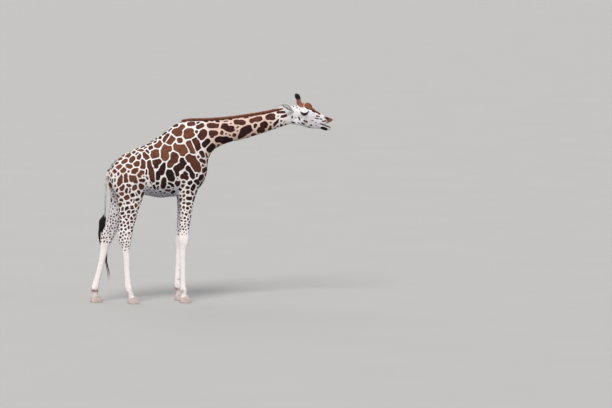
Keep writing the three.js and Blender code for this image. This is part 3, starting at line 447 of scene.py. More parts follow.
def noise_at(places, scale):
    """Smooth noise at each place, between -1 and 1."""
    return np.array([noise.noise(Vector(p) * scale) for p in places])


def turn_round(aside, up):
    """The angle round a line at which each offset lies, as a share of the whole turn."""
    return np.arctan2(aside, up) / (2 * math.pi) + 0.5


def line_width(mm):
    """Width of the pale lines between patches, in metres: wider on the neck, narrower down the legs."""
    x, z = mm[:, 0], mm[:, 2]
    neck = smooth_step(x, 540, 800) * (z > 1700)
    leg = smooth_step(-z, -1560, -1380)
    return (17.5 + 7 * neck - 3 * leg) * MM


HEAD_JOINT = (1752, 2490)  # where head and neck meet, along X and Z
HEAD_WAY = (0.979, 0.203)  # and the direction in which that joint faces


def on_head(mm):
    """How far in front of the joint of head and neck each place lies, in millimetres."""
    return (mm[:, 0] - HEAD_JOINT[0]) * HEAD_WAY[0] + (mm[:, 2] - HEAD_JOINT[1]) * HEAD_WAY[1]


# Borders between the pieces of the coat, in millimetres.
LEG_TOP = 1400  # the height at which the legs' coat begins
NECK_BASE = 600  # where the neck's coat begins, along X
SHOULDER_BACK = 60  # where the shoulder's begins
MID_TRUNK = -50  # a place between forelegs and hind legs
HOOF_TOP = 76  # the lowest height at which hair grows
FACE_BACK = -60  # where the face's coat begins, from the joint of head and neck


def on_tail(mm):
    return (mm[:, 0] < -700) & (mm[:, 2] > 1100)


def leg_line(name):
    """The heights of a leg's sections, lowest first, and its middle there."""
    sections, side, line, (top, foot) = STANCE[name]
    heights = np.array([s[0] for s in sections])[::-1]
    apart = top + (foot - top) * np.arange(len(line)) / (len(line) - 1)
    return heights, np.array(line)[::-1], side * apart[::-1]


def nearest_leg(mm):
    """For each place: the offset from the middle of the leg that it belongs to, and that leg's number."""
    best = np.full(len(mm), 1e9)
    offset, which = np.zeros((len(mm), 2)), np.zeros(len(mm), int)
    for number, name in enumerate(STANCE):
        heights, *lines = leg_line(name)
        away = mm[:, :2] - columns(*(np.interp(mm[:, 2], heights, line) for line in lines))
        span = np.linalg.norm(away, axis=1)
        closer = span < best
        best[closer], offset[closer], which[closer] = span[closer], away[closer], number
    return offset, which


LOWEST_SPOTS = (1015, 1000, 800, 905)  # height at which the spots of each leg begin to fade out
SPOTS_TOP = 1450  # below this height the spots are the legs' small ones
SHANKS = 700  # below this height a leg looks the same all round
HEAD_CLEAR = -400  # farther behind the joint of head and neck than this, nothing belongs to the head


def facing_in(normals, which):
    """How far the skin of the leg with each number faces the mid-plane."""
    return normals[:, 1] * np.where(which % 2 == 0, 1, -1)


def spot_sizes(mm, normals):
    """Radius of the spots and the pale gap round them, in millimetres, where no listed patch is laid out."""
    x, z = mm[:, 0], mm[:, 2]
    which = nearest_leg(mm)[1]
    hind = which >= 2
    low_leg = np.choose(which, LOWEST_SPOTS)
    share = np.clip((z - low_leg) / (SPOTS_TOP - low_leg), 0, 1)
    on_leg = (z < SPOTS_TOP) & (on_head(mm) < HEAD_CLEAR)
    radius = np.where(on_leg, np.where(hind, 11 + 19 * share, 12.5 + 14 * share), 38.0)
    gap = np.where(on_leg, 18.5 - 10 * share, 6.0)
    below = np.clip((low_leg + 30 - z) / 130, 0, 1)
    radius, gap = radius * (1 - 0.45 * below), gap + 34 * below
    radius = np.where(on_leg & (below >= 1), 0, radius)
    neck = (x > NECK_BASE) & (z > 1700)
    radius, gap = np.where(neck, 30, radius), np.where(neck, 22, gap)
    inner = (z < 1560) & (z > SHANKS) & (facing_in(normals, which) > 0.25)
    belly = (normals[:, 2] < -0.45) & (z > 1380) & (z < 1620) & (x < 420)
    radius = np.where((inner | belly) & (radius > 0), 11, radius)
    gap = np.where(inner | belly, 26, gap)
    tail = on_tail(mm)
    radius, gap = np.where(tail, 7, radius), np.where(tail, 9, gap)
    radius = np.where(on_head(mm) > FACE_BACK, 0, radius)
    return radius, gap


def lay_out_markings(skin):
    """Sets the right side's patches on the skin, mirrors them with small differences, and fills the rest."""
    tree = BVHTree.FromObject(skin, bpy.context.evaluated_depsgraph_get())
    rng = np.random.default_rng(7)
    mid = at(0, 0, 0).y
    mirror = Vector((1, -1, 1))

    def landing(px, py):
        ray = sight(px, py)
        place, normal = tree.ray_cast(EYE_POINT, ray)[:2]
        if place is None:
            crossing = EYE_POINT + ray * ((mid - 0.05 - EYE_POINT.y) / ray.y)
            place, normal = tree.find_nearest(crossing)[:2]
        return place, normal

    for rows, growth in ((NECK, "neck"), (SHOULDER, "body"), (TRUNK_AND_RUMP, "body"), (FACE, "face")):
        for tone, *ovals in rows:
            patch = MARKINGS.begin(tone)
            aside = [abs(landing(px, py)[0].y - mid) / (long * STEP * MM) for px, py, long, *_ in ovals]
            both = growth == "face" or min(aside) < 1.1
            other = patch if both else MARKINGS.begin(float(np.clip(tone + rng.normal(0, 0.1), 0, 1)))
            turn, larger, *shift = (0, 0, 0, 0) if both else rng.normal(0, DIFFERENCES)
            turned = Matrix.Rotation(math.radians(turn), 3, "Y")
            for px, py, long, tall, tilt in ovals:
                place, normal = landing(px, py)
                long, tall = (size * GROWTH[growth] * STEP * MM for size in (long, tall))
                angle, span = math.radians(tilt), max(long, tall)
                along = RIGHT * math.cos(angle) + UP * math.sin(angle)
                across = UP * math.cos(angle) - RIGHT * math.sin(angle)
                lines, deep = (along / long, across / tall), VIEW / (DEEP_REACH * span)
                MARKINGS.add(place, (*lines, normal / (OFF_REACH * span), deep), span, patch)
                far = Vector((place.x + shift[0], 2 * mid - place.y, place.z + shift[1]))
                near, far_normal = tree.find_nearest(far)[:2]
                if (near - far).length > 0.1:
                    continue
                along, across, deep = (turned @ (line * mirror) / (1 + larger) for line in (*lines, deep))
                MARKINGS.add(near, (along, across, far_normal / (OFF_REACH * span), deep), span, other)
    fill_markings(skin, rng)


def fill_markings(skin, rng):
    """Spots wherever there is room for one between those laid out, large ones first."""
    places, normals = places_of(skin.data), normals_of(skin.data)
    radius, gap = spot_sizes(in_mm(places), normals)
    for scale in (1.0, 0.62):
        chosen = rng.permutation(np.flatnonzero(radius > 0))[:SPOT_TRIALS]
        spots, ways = places[chosen], normals[chosen]
        size, apart = radius[chosen] * MM * scale, gap[chosen] * MM
        room = np.full(len(chosen), 9.0)
        for k, place in enumerate(MARKINGS.places):
            near = np.flatnonzero(np.abs(spots - place).max(axis=1) < MARKINGS.spans[k] + 0.1)
            if len(near):
                share, reach = MARKINGS.reach(spots[near], k)
                room[near] = np.minimum(room[near], (share - 1) * reach + 0.2 * apart[near])
        for i in range(len(chosen)):
            if room[i] < size[i] * 0.85 + apart[i] / 2:
                continue
            stretch = 1 + 0.3 * rng.random()
            across = np.cross(ways[i], rng.normal(size=3))
            across /= np.linalg.norm(across)
            long, over = 1.22 * size[i], np.cross(ways[i], across)
            off = ways[i] / (OFF_REACH * long)
            rows = (across / (long * stretch), over / (long / stretch), off, np.zeros(3))
            patch = MARKINGS.begin(0.35 + 0.5 * rng.random())
            MARKINGS.add(spots[i], rows, long * stretch, patch)
            room = np.minimum(room, np.linalg.norm(spots - spots[i], axis=1) - size[i])


def align_to_lines(skin):
    """Slides the vertices beside the middle of a pale line onto it, so that its edges come out crisp."""
    mesh = skin.data
    tree = BVHTree.FromObject(skin, bpy.context.evaluated_depsgraph_get())
    places, normals = places_of(mesh), normals_of(mesh)
    ends = np.empty(len(mesh.edges) * 2, np.int32)
    mesh.edges.foreach_get("vertices", ends)
    first, second = ends.reshape(-1, 2).T
    lengths = np.linalg.norm(places[first] - places[second], axis=1)
    meeting = np.bincount(ends, minlength=len(places))
    total = np.bincount(first, lengths, len(places)) + np.bincount(second, lengths, len(places))
    spacing = total / meeting
    middles = np.array(MARKINGS.places)
    line = line_width(in_mm(places))
    moved = np.zeros(len(places), bool)
    for _ in range(2):
        share, size, oval = MARKINGS.nearest_two(places)
        off = half_apart(share, size)
        beside = (oval.min(axis=0) >= 0) & (off < 0.52 * spacing) & ((1 - share[0]) * size[0] > -line)
        here = places[beside]
        first_way, second_way = (unit(here - middles[oval[k, beside]]) for k in (0, 1))
        places[beside] += along_surface(first_way - second_way, normals[beside]) * off[beside, None]
        moved |= beside
    for i in np.flatnonzero(moved):
        places[i] = tree.find_nearest(Vector(places[i]))[0]
    mesh.vertices.foreach_set("co", places.astype(np.float32).ravel())
    mesh.update()


def face_stain(mm, mottle_and_highlights):
    """Brown hair on the muzzle, the raised lip, the crown and the bridge of the nose."""
    x, _, z = mm.T
    head, over_lip, over_mouth = on_head(mm), z - mouth_roof(x), z - mouth_line(x)
    top = np.interp(x, [row[0] for row in HEAD], [row[1] for row in HEAD])
    bridge = smooth_step(z - top, -36, -18) * smooth_step(x, 1960, 2000) * (1 - smooth_step(x, 2150, 2185))
    bridge = bridge * np.clip(0.9 + 1.2 * mottle_and_highlights, 0.3, 1)
    lip = smooth_step(x, 2236, 2266) * (1 - smooth_step(over_lip, 8, 20)) * smooth_step(over_lip, -12, -4)
    muzzle = np.maximum(smooth_step(head, 474, 516) * smooth_step(over_mouth, 6, 22), lip)
    # On the crown the mottle lets the pale ground show through the brown: partly the hair's own mottling,
    # partly painted highlights.
    crown = smooth_step(z, 2594, 2624) * smooth_step(x, 1868, 1925) * np.clip(0.85 + 0.9 * mottle_and_highlights, 0.35, 1)
    return np.maximum.reduce([muzzle, crown * (head > 60), bridge])


def leg_browning(z, which, wobble):
    """Browner colour on the ankles, darkest on the left ones, and in patches on the left foreleg's shank."""
    left = which % 2
    ankle = np.exp(-(((z - 158) / (38 - 12 * left)) ** 2)) * (0.22 + 0.55 * left + 0.5 * wobble) * (z < 400)
    ankle = np.maximum(ankle, 0.28 * left * smooth_step(-z, -165, -140))
    shank = np.exp(-(((z - 330) / 150) ** 2)) * smooth_step(wobble, 0.1, 0.5) * (which == 1) * (z < SHANKS)
    return np.clip(np.maximum(ankle, 0.35 * shank), 0, 0.9)


def coat_values(places, normals):
    """What the coat looks like at each place: the named values that the coat's materials read."""
    mm = in_mm(places)
    x, _, z = mm.T
    wobble, mottle_and_highlights = noise_at(places, 26), noise_at(places, 27)
    edge, tone = MARKINGS.edges(places, line_width(mm))
    head, which = on_head(mm), nearest_leg(mm)[1]
    neck = smooth_step(x, 480, 760) * (1 - smooth_step(head, -330, -70))
    # Painted shade: a grey mixed in under the belly where the skin faces down, on the inner faces of the
    # upper legs, and over the face, most below the eyes.
    belly = smooth_step(-normals[:, 2], 0.15, 0.75) * smooth_step(-z, -1640, -1520)
    belly = belly * smooth_step(z, 1380, 1440)
    inner = (z < SPOTS_TOP) & (z > SHANKS) & (facing_in(normals, which) > 0)
    shade = np.maximum(belly, 0.5 * inner * smooth_step(z, 760, 1000)) * (head < HEAD_CLEAR)
    cheek = 0.24 + 0.22 * smooth_step(-z, -2540, -2440) + 0.3 * wobble
    shade = np.maximum(shade, np.clip(cheek, 0, 0.6) * smooth_step(head, -40, 80))
    ground = 0.16 + 0.66 * neck - 0.06 * smooth_step(-z, -1500, -1300)
    ground = np.where(head > -20, 0.02, ground)
    return {
        "edge": np.clip(edge / MM + 3.5 * wobble, -40, 40),
        # The mottle lightens and darkens the upper head's patches: partly their own colour, partly painted
        # highlights on the crown.
        "tone": np.clip(tone + 1.5 * mottle_and_highlights * (head > 60) * (z > 2470), 0, 1),
        "ground": np.clip(ground + 0.15 * wobble, 0, 1),
        "shade": shade,
        "stain": np.maximum(face_stain(mm, mottle_and_highlights), leg_browning(z, which, wobble)),
        # Dark hairless skin, and the band round the eye, which is partly dark skin and lashes and partly
        # painted shadow of the brow.
        "bare": np.maximum(bare_skin(mm), np.clip(1.3 * round_eye(mm), 0, 1)),
    }


def mouth_line(x):
    """The height of the line between the lips."""
    (cx, cz), (lx, lz) = MOUTH["corner"], MOUTH["lips"]
    share = np.maximum((x - cx) / (lx - cx), 0)
    sag = np.minimum(share, 1)
    return cz + (lz - cz) * share - 4 * MOUTH["sag"] * sag * (1 - sag)


def mouth_roof(x):
    """The height of the upper lip's underside, which is raised in front."""
    (cx, cz), (bx, bz), (ex, ez) = MOUTH["corner"], *LIP_RAISED
    bend = ex - 2 * bx + cx
    t = (np.sqrt((bx - cx) ** 2 + bend * np.maximum(x - cx, 0)) - (bx - cx)) / bend
    return (cz + 1.5) * (1 - t) ** 2 + 2 * bz * t * (1 - t) + ez * t**2


def beside_face(mm):
    """Whether each place is far enough aside to belong to the marks round an eye."""
    return np.abs(mm[:, 1]) > 40


def near_lids(mm):
    """Whether each place is so near the opening between the lids that no hair grows there."""
    along, over = mm[:, 0] - EYE_AT[0] - 2, mm[:, 2] - EYE_AT[2] - LID_OPENING["low"]
    off = np.abs(over - LID_OPENING["curve"] * along**2)
    return (off < LID_OPENING["tall"] + 6) & (np.abs(along) < LID_OPENING["long"] + 7) & beside_face(mm)


def round_eye(mm):
    """The dark patch round the eye: a curved band, thickest in its middle. It is partly dark skin and lashes,
    and partly painted shadow under the brow and lashes.
    """
    fore, over = mm[:, 0] - EYE_AT[0] - 3, mm[:, 2] - EYE_AT[2]
    arc = over + 12 - LID_OPENING["curve"] * fore**2
    along = smooth_step(fore, -59, -47) * (1 - smooth_step(fore, 55, 67))
    return along * (1 - smooth_step(np.abs(arc) / (23 - 0.17 * np.abs(fore)), 0.8, 1.05)) * beside_face(mm)


def bare_skin(mm):
    """Dark hairless skin in the nostrils and along the mouth."""
    x, y, z = mm[:, 0], np.abs(mm[:, 1]), mm[:, 2]
    nx, _, nz = NOSTRIL["at"]
    rise = z - nz - 4 + NOSTRIL["tilt"] * (x - nx)
    nostril = np.exp(-(((x - nx - 2) / 32) ** 2) - (rise / 13) ** 2) * (y > 22)
    corner = MOUTH["corner"][0]
    mouth = smooth_step(z - mouth_line(x), -21, -8) * (1 - smooth_step(z - mouth_roof(x), -2, 7))
    return np.clip(np.maximum(1.6 * nostril, mouth * smooth_step(x, corner - 16, corner + 10)), 0, 1)


def give_values(mesh, values):
    """Writes named values on a mesh's vertices."""
    for name, numbers in values.items():
        layer = mesh.attributes.new(name, "FLOAT", "POINT")
        layer.data.foreach_set("value", np.asarray(numbers, np.float32))


# ------------------------------------------------------------------ making shapes


def catmull(rows, t):
    """The row at t, 0 to 1, on a smooth line through rows of numbers."""
    rows = np.asarray(rows, float)
    place = min(max(t, 0.0), 1.0) * (len(rows) - 1)
    i = min(int(place), len(rows) - 2)
    f = place - i
    before = rows[i - 1] if i else 2 * rows[0] - rows[1]
    after = rows[i + 2] if i + 2 < len(rows) else 2 * rows[-1] - rows[-2]
    a, b = rows[i], rows[i + 1]
    square, cube = 2 * before - 5 * a + 4 * b - after, 3 * a - before - 3 * b + after
    return 0.5 * (2 * a + (b - before) * f + square * f**2 + cube * f**3)


def squared(value, square):
    """A sine or cosine drawn out, so that a ring of them is squarer than a circle."""
    return math.copysign(abs(value) ** (2 / square), value)


def tube(sides, rings, place):
    """A closed tube from a grid. place(ring, turn) gives its points."""
    bm = bmesh.new()
    bmesh.ops.create_grid(bm, x_segments=sides, y_segments=rings, size=1.0)
    for v in bm.verts:
        v.co = place(round((v.co.y + 1) / 2 * rings), (v.co.x + 1) * math.pi)
    bmesh.ops.remove_doubles(bm, verts=bm.verts, dist=1e-6)
    bmesh.ops.holes_fill(bm, edges=[e for e in bm.edges if e.is_boundary], sides=0)
    bmesh.ops.recalc_face_normals(bm, faces=bm.faces)
    return bm


def loft(sides, rings, section, span=(0.0, 1.0)):
    """A closed tube. section(t) gives a ring's middle, its two half axes, the shift of its widest part
    towards the first and its squareness."""
    cuts = [section(span[0] + (span[1] - span[0]) * k / rings) for k in range(rings + 1)]

    def place(ring, turn):
        middle, up, side, shift, square = cuts[ring]
        along, across = squared(math.cos(turn), square), squared(math.sin(turn), square)
        return middle + up * along + side * (across * (1 + shift * along))

    return tube(sides, rings, place)


def body_section(rows, inset):
    """Sections of the trunk and neck or of the head, drawn in by an inset, in millimetres."""

    def section(t):
        top_x, top_z, bottom_x, bottom_z, half, shift, square = catmull(rows, t)
        top, bottom = at(top_x, 0, top_z), at(bottom_x, 0, bottom_z)
        up = (top - bottom) / 2
        up *= 1 - inset * MM / up.length
        return (top + bottom) / 2, up, Vector((0, (half - inset) * MM, 0)), shift, square

    return section


def leg_section(name, inset):
    """Sections of a leg, drawn in by an inset, in millimetres."""
    sections, side, line, (top, foot) = STANCE[name]
    last = len(sections) - 1
    rows = [
        (z, line[i], top + (foot - top) * i / last, deep, wide, square)
        for i, (z, deep, wide, square) in enumerate(sections)
    ]

    def section(t):
        z, x, y, deep, wide, square = catmull(rows, t)
        up, across = Vector(((deep - inset) * MM, 0, 0)), Vector((0, (wide - inset) * MM, 0))
        return at(x, side * y, z), up, across, 0.08, square

    return section


def tube_section(rows, flat=Vector((0, 1, 0)), inset=0.0):
    """Sections of a tube along rows of x, y, z and radius, or of x, y, z and two half sizes."""
    step = 1e-3

    def section(t):
        x, y, z, *radii = catmull(rows, t)
        ahead, behind = catmull(rows, min(t + step, 1))[:3], catmull(rows, max(t - step, 0))[:3]
        tangent = Vector(ahead - behind).normalized()
        first = (flat - tangent * flat.dot(tangent)).normalized()
        second = tangent.cross(first)
        a, b = radii[0] - inset, radii[-1] - inset
        return at(x, y, z), first * a * MM, second * b * MM, 0, 2

    return section


def egg(place, size, tilt=0.0, side=1, sides=32, rows=18):
    """An ellipsoid whose long half axis turns down towards +X by tilt."""
    bm = bmesh.new()
    bmesh.ops.create_uvsphere(bm, u_segments=sides, v_segments=rows, radius=1.0)
    x, y, z = place
    shape = (
        Matrix.Translation(at(x, side * y, z))
        @ Matrix.Rotation(tilt, 4, "Y")
        @ Matrix.Diagonal((*(Vector(size) * MM), 1.0))
    )
    bmesh.ops.transform(bm, matrix=shape, verts=bm.verts)
    return bm


def link(name, data):
    """A new object of the scene."""
    obj = bpy.data.objects.new(name, data)
    bpy.context.scene.collection.objects.link(obj)
    return obj


def opened(mesh):
    """A bmesh with a mesh's faces."""
    bm = bmesh.new()
    bm.from_mesh(mesh)
    return bm


def write_back(bm, mesh, smooth=True):
    """Ends a bmesh and gives its faces to a mesh."""
    bm.to_mesh(mesh)
    bm.free()
    mesh.polygons.foreach_set("use_smooth", [smooth] * len(mesh.polygons))


def join(whole, bm):
    """Ends a bmesh and adds its faces to another."""
    part = bpy.data.meshes.new("part")
    bm.to_mesh(part)
    bm.free()
    whole.from_mesh(part)
    bpy.data.meshes.remove(part)


def piece_from(solids, name, smooth=True):
    """One object from one or more bmeshes."""
    whole = bmesh.new()
    for bm in solids:
        join(whole, bm)
    mesh = bpy.data.meshes.new(name)
    write_back(whole, mesh, smooth)
    return link(name, mesh)


def settle(obj):
    """Applies an object's modifiers to its mesh."""
    bpy.context.view_layer.update()
    shown = obj.evaluated_get(bpy.context.evaluated_depsgraph_get())
    mesh = bpy.data.meshes.new_from_object(shown)
    old = obj.data
    obj.modifiers.clear()
    obj.data = mesh
    bpy.data.meshes.remove(old)
    mesh.name = obj.name
    return obj


def fuse(obj, voxel):
    """Makes overlapping solids one closed surface of even small faces."""
    modifier = obj.modifiers.new("fuse", "REMESH")
    modifier.mode = "VOXEL"
    modifier.voxel_size = voxel * MM
    modifier.use_smooth_shade = True
    return settle(obj)


def carve(obj, cutters):
    """Cuts a list of solids out of a closed object."""
    tool = piece_from(cutters, "cutter")
    modifier = obj.modifiers.new("carve", "BOOLEAN")
    modifier.operation = "DIFFERENCE"
    modifier.solver = "EXACT"
    modifier.object = tool
    settle(obj)
    bpy.data.objects.remove(tool)
    return obj


def soften(obj, weights, rounds):
    """Smooths an object's vertices where the weights say so."""
    group = obj.vertex_groups.new(name="soften")
    for i in np.flatnonzero(weights > 0.01):
        group.add([int(i)], float(weights[i]), "REPLACE")
    modifier = obj.modifiers.new("soften", "SMOOTH")
    modifier.factor = 0.5
    modifier.iterations = rounds
    modifier.vertex_group = group.name
    settle(obj)
    obj.vertex_groups.clear()
    return obj


def places_of(mesh, reading="co"):
    """A row for each vertex of a mesh: its place, or another reading of it."""
    flat = np.empty(len(mesh.vertices) * 3)
    mesh.vertices.foreach_get(reading, flat)
    return flat.reshape(-1, 3)


def normals_of(mesh):
    return places_of(mesh, "normal")


def show_as(obj, material, slot, *nodes):
    """Gives a finished piece its material, and sets it on the body in place of CAD nodes. The slot is not
    used.
    """
    obj.data.materials.clear()
    obj.data.materials.append(material)
    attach(obj, "root")
    if nodes:
        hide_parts(*nodes)
    return obj


# ------------------------------------------------------------------ materials


def node_group(name, sockets_in, sockets_out):
    group = bpy.data.node_groups.new(name, "ShaderNodeTree")
    for label, kind in sockets_in:
        group.interface.new_socket(label, in_out="INPUT", socket_type=kind)
    for label, kind in sockets_out:
        group.interface.new_socket(label, in_out="OUTPUT", socket_type=kind)
    return group, group.nodes.new("NodeGroupInput"), group.nodes.new("NodeGroupOutput")


class Wiring:
    """Short ways of adding nodes to a tree."""

    def __init__(self, tree):
        self.tree = tree

    def add(self, kind, inputs=None, **settings):
        made = self.tree.nodes.new(kind)
        for key, value in settings.items():
            setattr(made, key, value)
        for key, value in (inputs or {}).items():
            self.feed(value, made.inputs[key])
        return made

    def feed(self, value, socket):
        if isinstance(value, bpy.types.NodeSocket):
            self.tree.links.new(value, socket)
        else:
            socket.default_value = value

    def math(self, operation, a, b=0.0):
        return self.add("ShaderNodeMath", {0: a, 1: b}, operation=operation).outputs[0]

    def total(self, a, b):
        return self.math("ADD", a, b)

    def product(self, a, b):
        return self.math("MULTIPLY", a, b)

    def away(self, a, b):
        """How far a place lies from a middle, from its two offsets."""
        return self.math("SQRT", self.total(self.product(a, a), self.product(b, b)))

    def range(self, value, low, high, to_low=0.0, to_high=1.0):
        inputs = {"Value": value, "From Min": low, "From Max": high, "To Min": to_low, "To Max": to_high}
        return self.add("ShaderNodeMapRange", inputs).outputs[0]

    def spread(self, noise, low=0.0, high=1.0):
        """The usual span of a noise, 0.3 to 0.7, stretched from low to high."""
        return self.range(noise, 0.3, 0.7, low, high)

    def mix(self, share, a, b, blend="MIX"):
        inputs = {0: share, 6: a, 7: b}
        return self.add("ShaderNodeMix", inputs, data_type="RGBA", blend_type=blend).outputs[2]

    def noise(self, where, scale, detail):
        return self.add("ShaderNodeTexNoise", {"Vector": where, "Scale": scale, "Detail": detail}).outputs[0]

    def ramp(self, value, stops):
        made = self.add("ShaderNodeValToRGB", {"Fac": value})
        elements = made.color_ramp.elements
        while len(elements) < len(stops):
            elements.new(0.5)
        for element, (place, colour) in zip(elements, stops):
            element.position = place
            element.color = colour
        return made.outputs[0]

    def reading(self, name):
        """A named value of the mesh."""
        return self.add("ShaderNodeAttribute", attribute_name=name).outputs["Fac"]


def paint(name):
    """A colour of the coat's settings, opaque."""
    return (*getattr(bpy.context.scene.giraffe_coat, name), 1)


def toned(colour, factor):
    """A darker or lighter kind of a colour, opaque."""
    return (*(min(1.0, factor * c) for c in colour[:3]), 1)


COAT_VALUES = ("edge", "tone", "ground", "shade", "stain", "bare")


def coat_colours():
    """The shared group that turns the coat's values into its colour and a grain of short hair."""
    name = "coat colours"
    if name in bpy.data.node_groups:
        return bpy.data.node_groups[name]
    group, start, end = node_group(
        name,
        [("Place", "NodeSocketVector"), *((value, "NodeSocketFloat") for value in COAT_VALUES)],
        [("Color", "NodeSocketColor"), ("Grain", "NodeSocketFloat")],
    )
    wire = Wiring(group)
    place = start.outputs["Place"]
    fine = wire.noise(place, 420, 2)
    middle = wire.noise(place, 95, 3)
    broad = wire.noise(place, 14, 3)
    frayed = wire.total(start.outputs["edge"], wire.range(middle, 0.25, 0.75, -3.2, 3.2))
    frayed = wire.total(frayed, wire.range(fine, 0.25, 0.75, -1.6, 1.6))
    depth = wire.range(frayed, 2, 26)
    tone = wire.total(start.outputs["tone"], wire.spread(broad, -0.12, 0.12))
    tone = wire.total(tone, wire.product(depth, -0.1))
    tones = ((0.0, "fawn"), (0.35, "chestnut"), (0.65, "liver"), (0.95, "black"))
    patches = wire.ramp(tone, [(place, paint(hair)) for place, hair in tones])
    ground = wire.mix(start.outputs["ground"], paint("white"), paint("cream"))
    # Painted shade: a grey mixed into the pale ground where the coat's values ask for it.
    ground = wire.mix(start.outputs["shade"], ground, paint("painted_shade_grey"))
    colour = wire.mix(wire.range(frayed, -1.2, 1.2), ground, patches)
    stain = wire.mix(wire.spread(middle), paint("nose"), paint("fawn"))
    colour = wire.mix(start.outputs["stain"], colour, stain)
    # Dark hairless skin: its own colour on lids, lips and nostrils, and painted shadow round the eyes and
    # along the inside of the ears.
    colour = wire.mix(start.outputs["bare"], colour, paint("bare"))
    streak = wire.spread(fine, 0.86, 1.1)
    streaks = wire.add("ShaderNodeCombineColor", {0: streak, 1: streak, 2: streak}).outputs[0]
    wire.feed(wire.mix(1.0, colour, streaks, "MULTIPLY"), end.inputs["Color"])
    wire.feed(wire.product(wire.total(fine, middle), 0.5), end.inputs["Grain"])
    return group


def new_material(name):
    """A material, its wiring, its shader and the place that its patterns read."""
    material = bpy.data.materials.new(name)
    material.use_nodes = True
    tree = material.node_tree
    wire = Wiring(tree)
    return material, wire, tree.nodes["Principled BSDF"], wire.add("ShaderNodeTexCoord").outputs["Object"]


def finish(wire, shader, settings, bump=()):
    """Feeds a shader's sockets, and its normal from a bump's strength, depth in metres and height."""
    for label, value in settings.items():
        wire.feed(value, shader.inputs[label])
    if bump:
        made = wire.add("ShaderNodeBump", dict(zip(("Strength", "Distance", "Height"), bump)))
        wire.feed(made.outputs[0], shader.inputs["Normal"])


def coat_material(name, bump):
    """Short hair in the coat's colours. The bump is how deep the grain reads, in metres."""
    if name in bpy.data.materials:
        return bpy.data.materials[name]
    material, wire, shader, place = new_material(name)
    colours = wire.add("ShaderNodeGroup", node_tree=coat_colours())
    wire.feed(place, colours.inputs["Place"])
    for value in COAT_VALUES:
        wire.feed(wire.reading(value), colours.inputs[value])
    grain = colours.outputs["Grain"]
    settings = {"Base Color": colours.outputs["Color"], "Roughness": wire.spread(grain, 0.72, 0.9)}
    finish(wire, shader, {**settings, "Specular IOR Level": 0.15}, (0.6, bump, grain))
    return material


def skin_coat_material():
    return coat_material("short coat", 0.0016)


def tuft_material():
    return coat_material("coat tufts", 0.0005)


DARKEST = (0.004, 0.003, 0.003, 1)  # the roots of black hair


def hair_material(name, stops, scale=60, rough=0.5, specular=0.4):
    """Coarse hair whose colour varies from lock to lock."""
    material, wire, shader, place = new_material(name)
    broad, fine = wire.noise(place, scale, 2), wire.noise(place, scale * 7, 2)
    mixed = wire.total(wire.product(broad, 0.6), wire.product(fine, 0.4))
    mixed = wire.total(wire.spread(mixed, 0, 0.7), wire.product(wire.reading("tip"), 0.3))
    settings = {"Base Color": wire.ramp(mixed, stops), "Specular IOR Level": specular}
    settings["Roughness"] = wire.spread(fine, rough - 0.1, rough + 0.12)
    finish(wire, shader, settings, (0.4, 0.001, fine))
    return material


# ------------------------------------------------------------------ skin


def mouth_cutter():
    """A wedge through the muzzle, thin at the corner, with the upper lip raised in front."""
    (corner, _), (lips, _) = MOUTH["corner"], MOUTH["lips"]
    reach = 1.4

    def section(t):
        share = t * reach
        x = corner + (lips - corner) * share
        floor = mouth_line(x) - (MOUTH["closed"] + (MOUTH["open"] - MOUTH["closed"]) * share) / 2
        roof = max(mouth_roof(x), floor + MOUTH["closed"])
        middle, half = (floor + roof) / 2, (roof - floor) / 2
        return at(x, 0, middle), Vector((0, 0, half * MM)), Vector((0, 0.12, 0)), 0, 6

    return loft(24, 32, section)


def lid_rim(turn, side, out):
    """A point of the rim of the opening between the lids, in millimetres: turn goes round it, out is how
    far it lies over the eye's surface."""
    x = LID_OPENING["long"] * math.cos(turn)
    z = LID_OPENING["low"] + LID_OPENING["curve"] * x * x + LID_OPENING["tall"] * squared(math.sin(turn), 1.5)
    radius = EYE_RADIUS + out
    y = math.sqrt(max(radius**2 - x * x - z * z, 0.06 * radius**2))
    return Vector((EYE_AT[0] + 2 + x, side * (EYE_AT[1] + y), EYE_AT[2] + z))


def lid_cutter(side):
    """The opening between the lids, from just inside the eye's surface outwards."""

    def place(ring, turn):
        x, _, z = lid_rim(turn, side, 0)
        return at(x, side * (EYE_AT[1] + 6 + 10 * ring), z)

    return tube(40, 6, place)


def face_swellings(side):
    """The forms of one side of the face."""
    ex, ey, ez = EYE_AT
    lids = EYE_RADIUS + LID
    nx, ny, nz = NOSTRIL["at"]
    return [
        egg((ex - 4, ey - 1, ez + 6), BROW, BROW_TILT, side),
        egg(EYE_AT, (lids + 3, lids, lids), BROW_TILT, side),
        egg((nx, ny - 8, nz), NOSTRIL["rim"], NOSTRIL["tilt"], side),
        egg((1900, 62, 2432), (88, 30, 62), -0.3, side),  # the cheek's muscle
        egg((2080, 50, 2420), (120, 14, 16), 0.32, side),  # the cheek bone's ridge
        egg((2310, 26, 2426), (46, 24, 22), 0.42, side),  # upper lip
    ]


HEAD_SKIN_INSET = 1.5  # how far the skin lies inside the solids, in millimetres
BODY_SKIN_INSET = 3.5
HEAD_MESH = 4.4  # how wide the skin's faces are before the legs' are divided, in millimetres
BODY_MESH = 17.5
CHIN = ((2316, 0, 2314), (30, 36, 20), 0.2)


def blend(obj, first, others, fade, rounds, wanted=lambda place: True):
    """Smooths the crease where other solids come out of the first, given as trees, at the wanted places."""
    weights = np.zeros(len(obj.data.vertices))
    for i, v in enumerate(obj.data.vertices):
        if wanted(v.co):
            off = max(first.find_nearest(v.co)[3], min(tree.find_nearest(v.co)[3] for tree in others))
            weights[i] = max(0.0, 1 - off / (fade * MM))
    return soften(obj, weights, rounds)


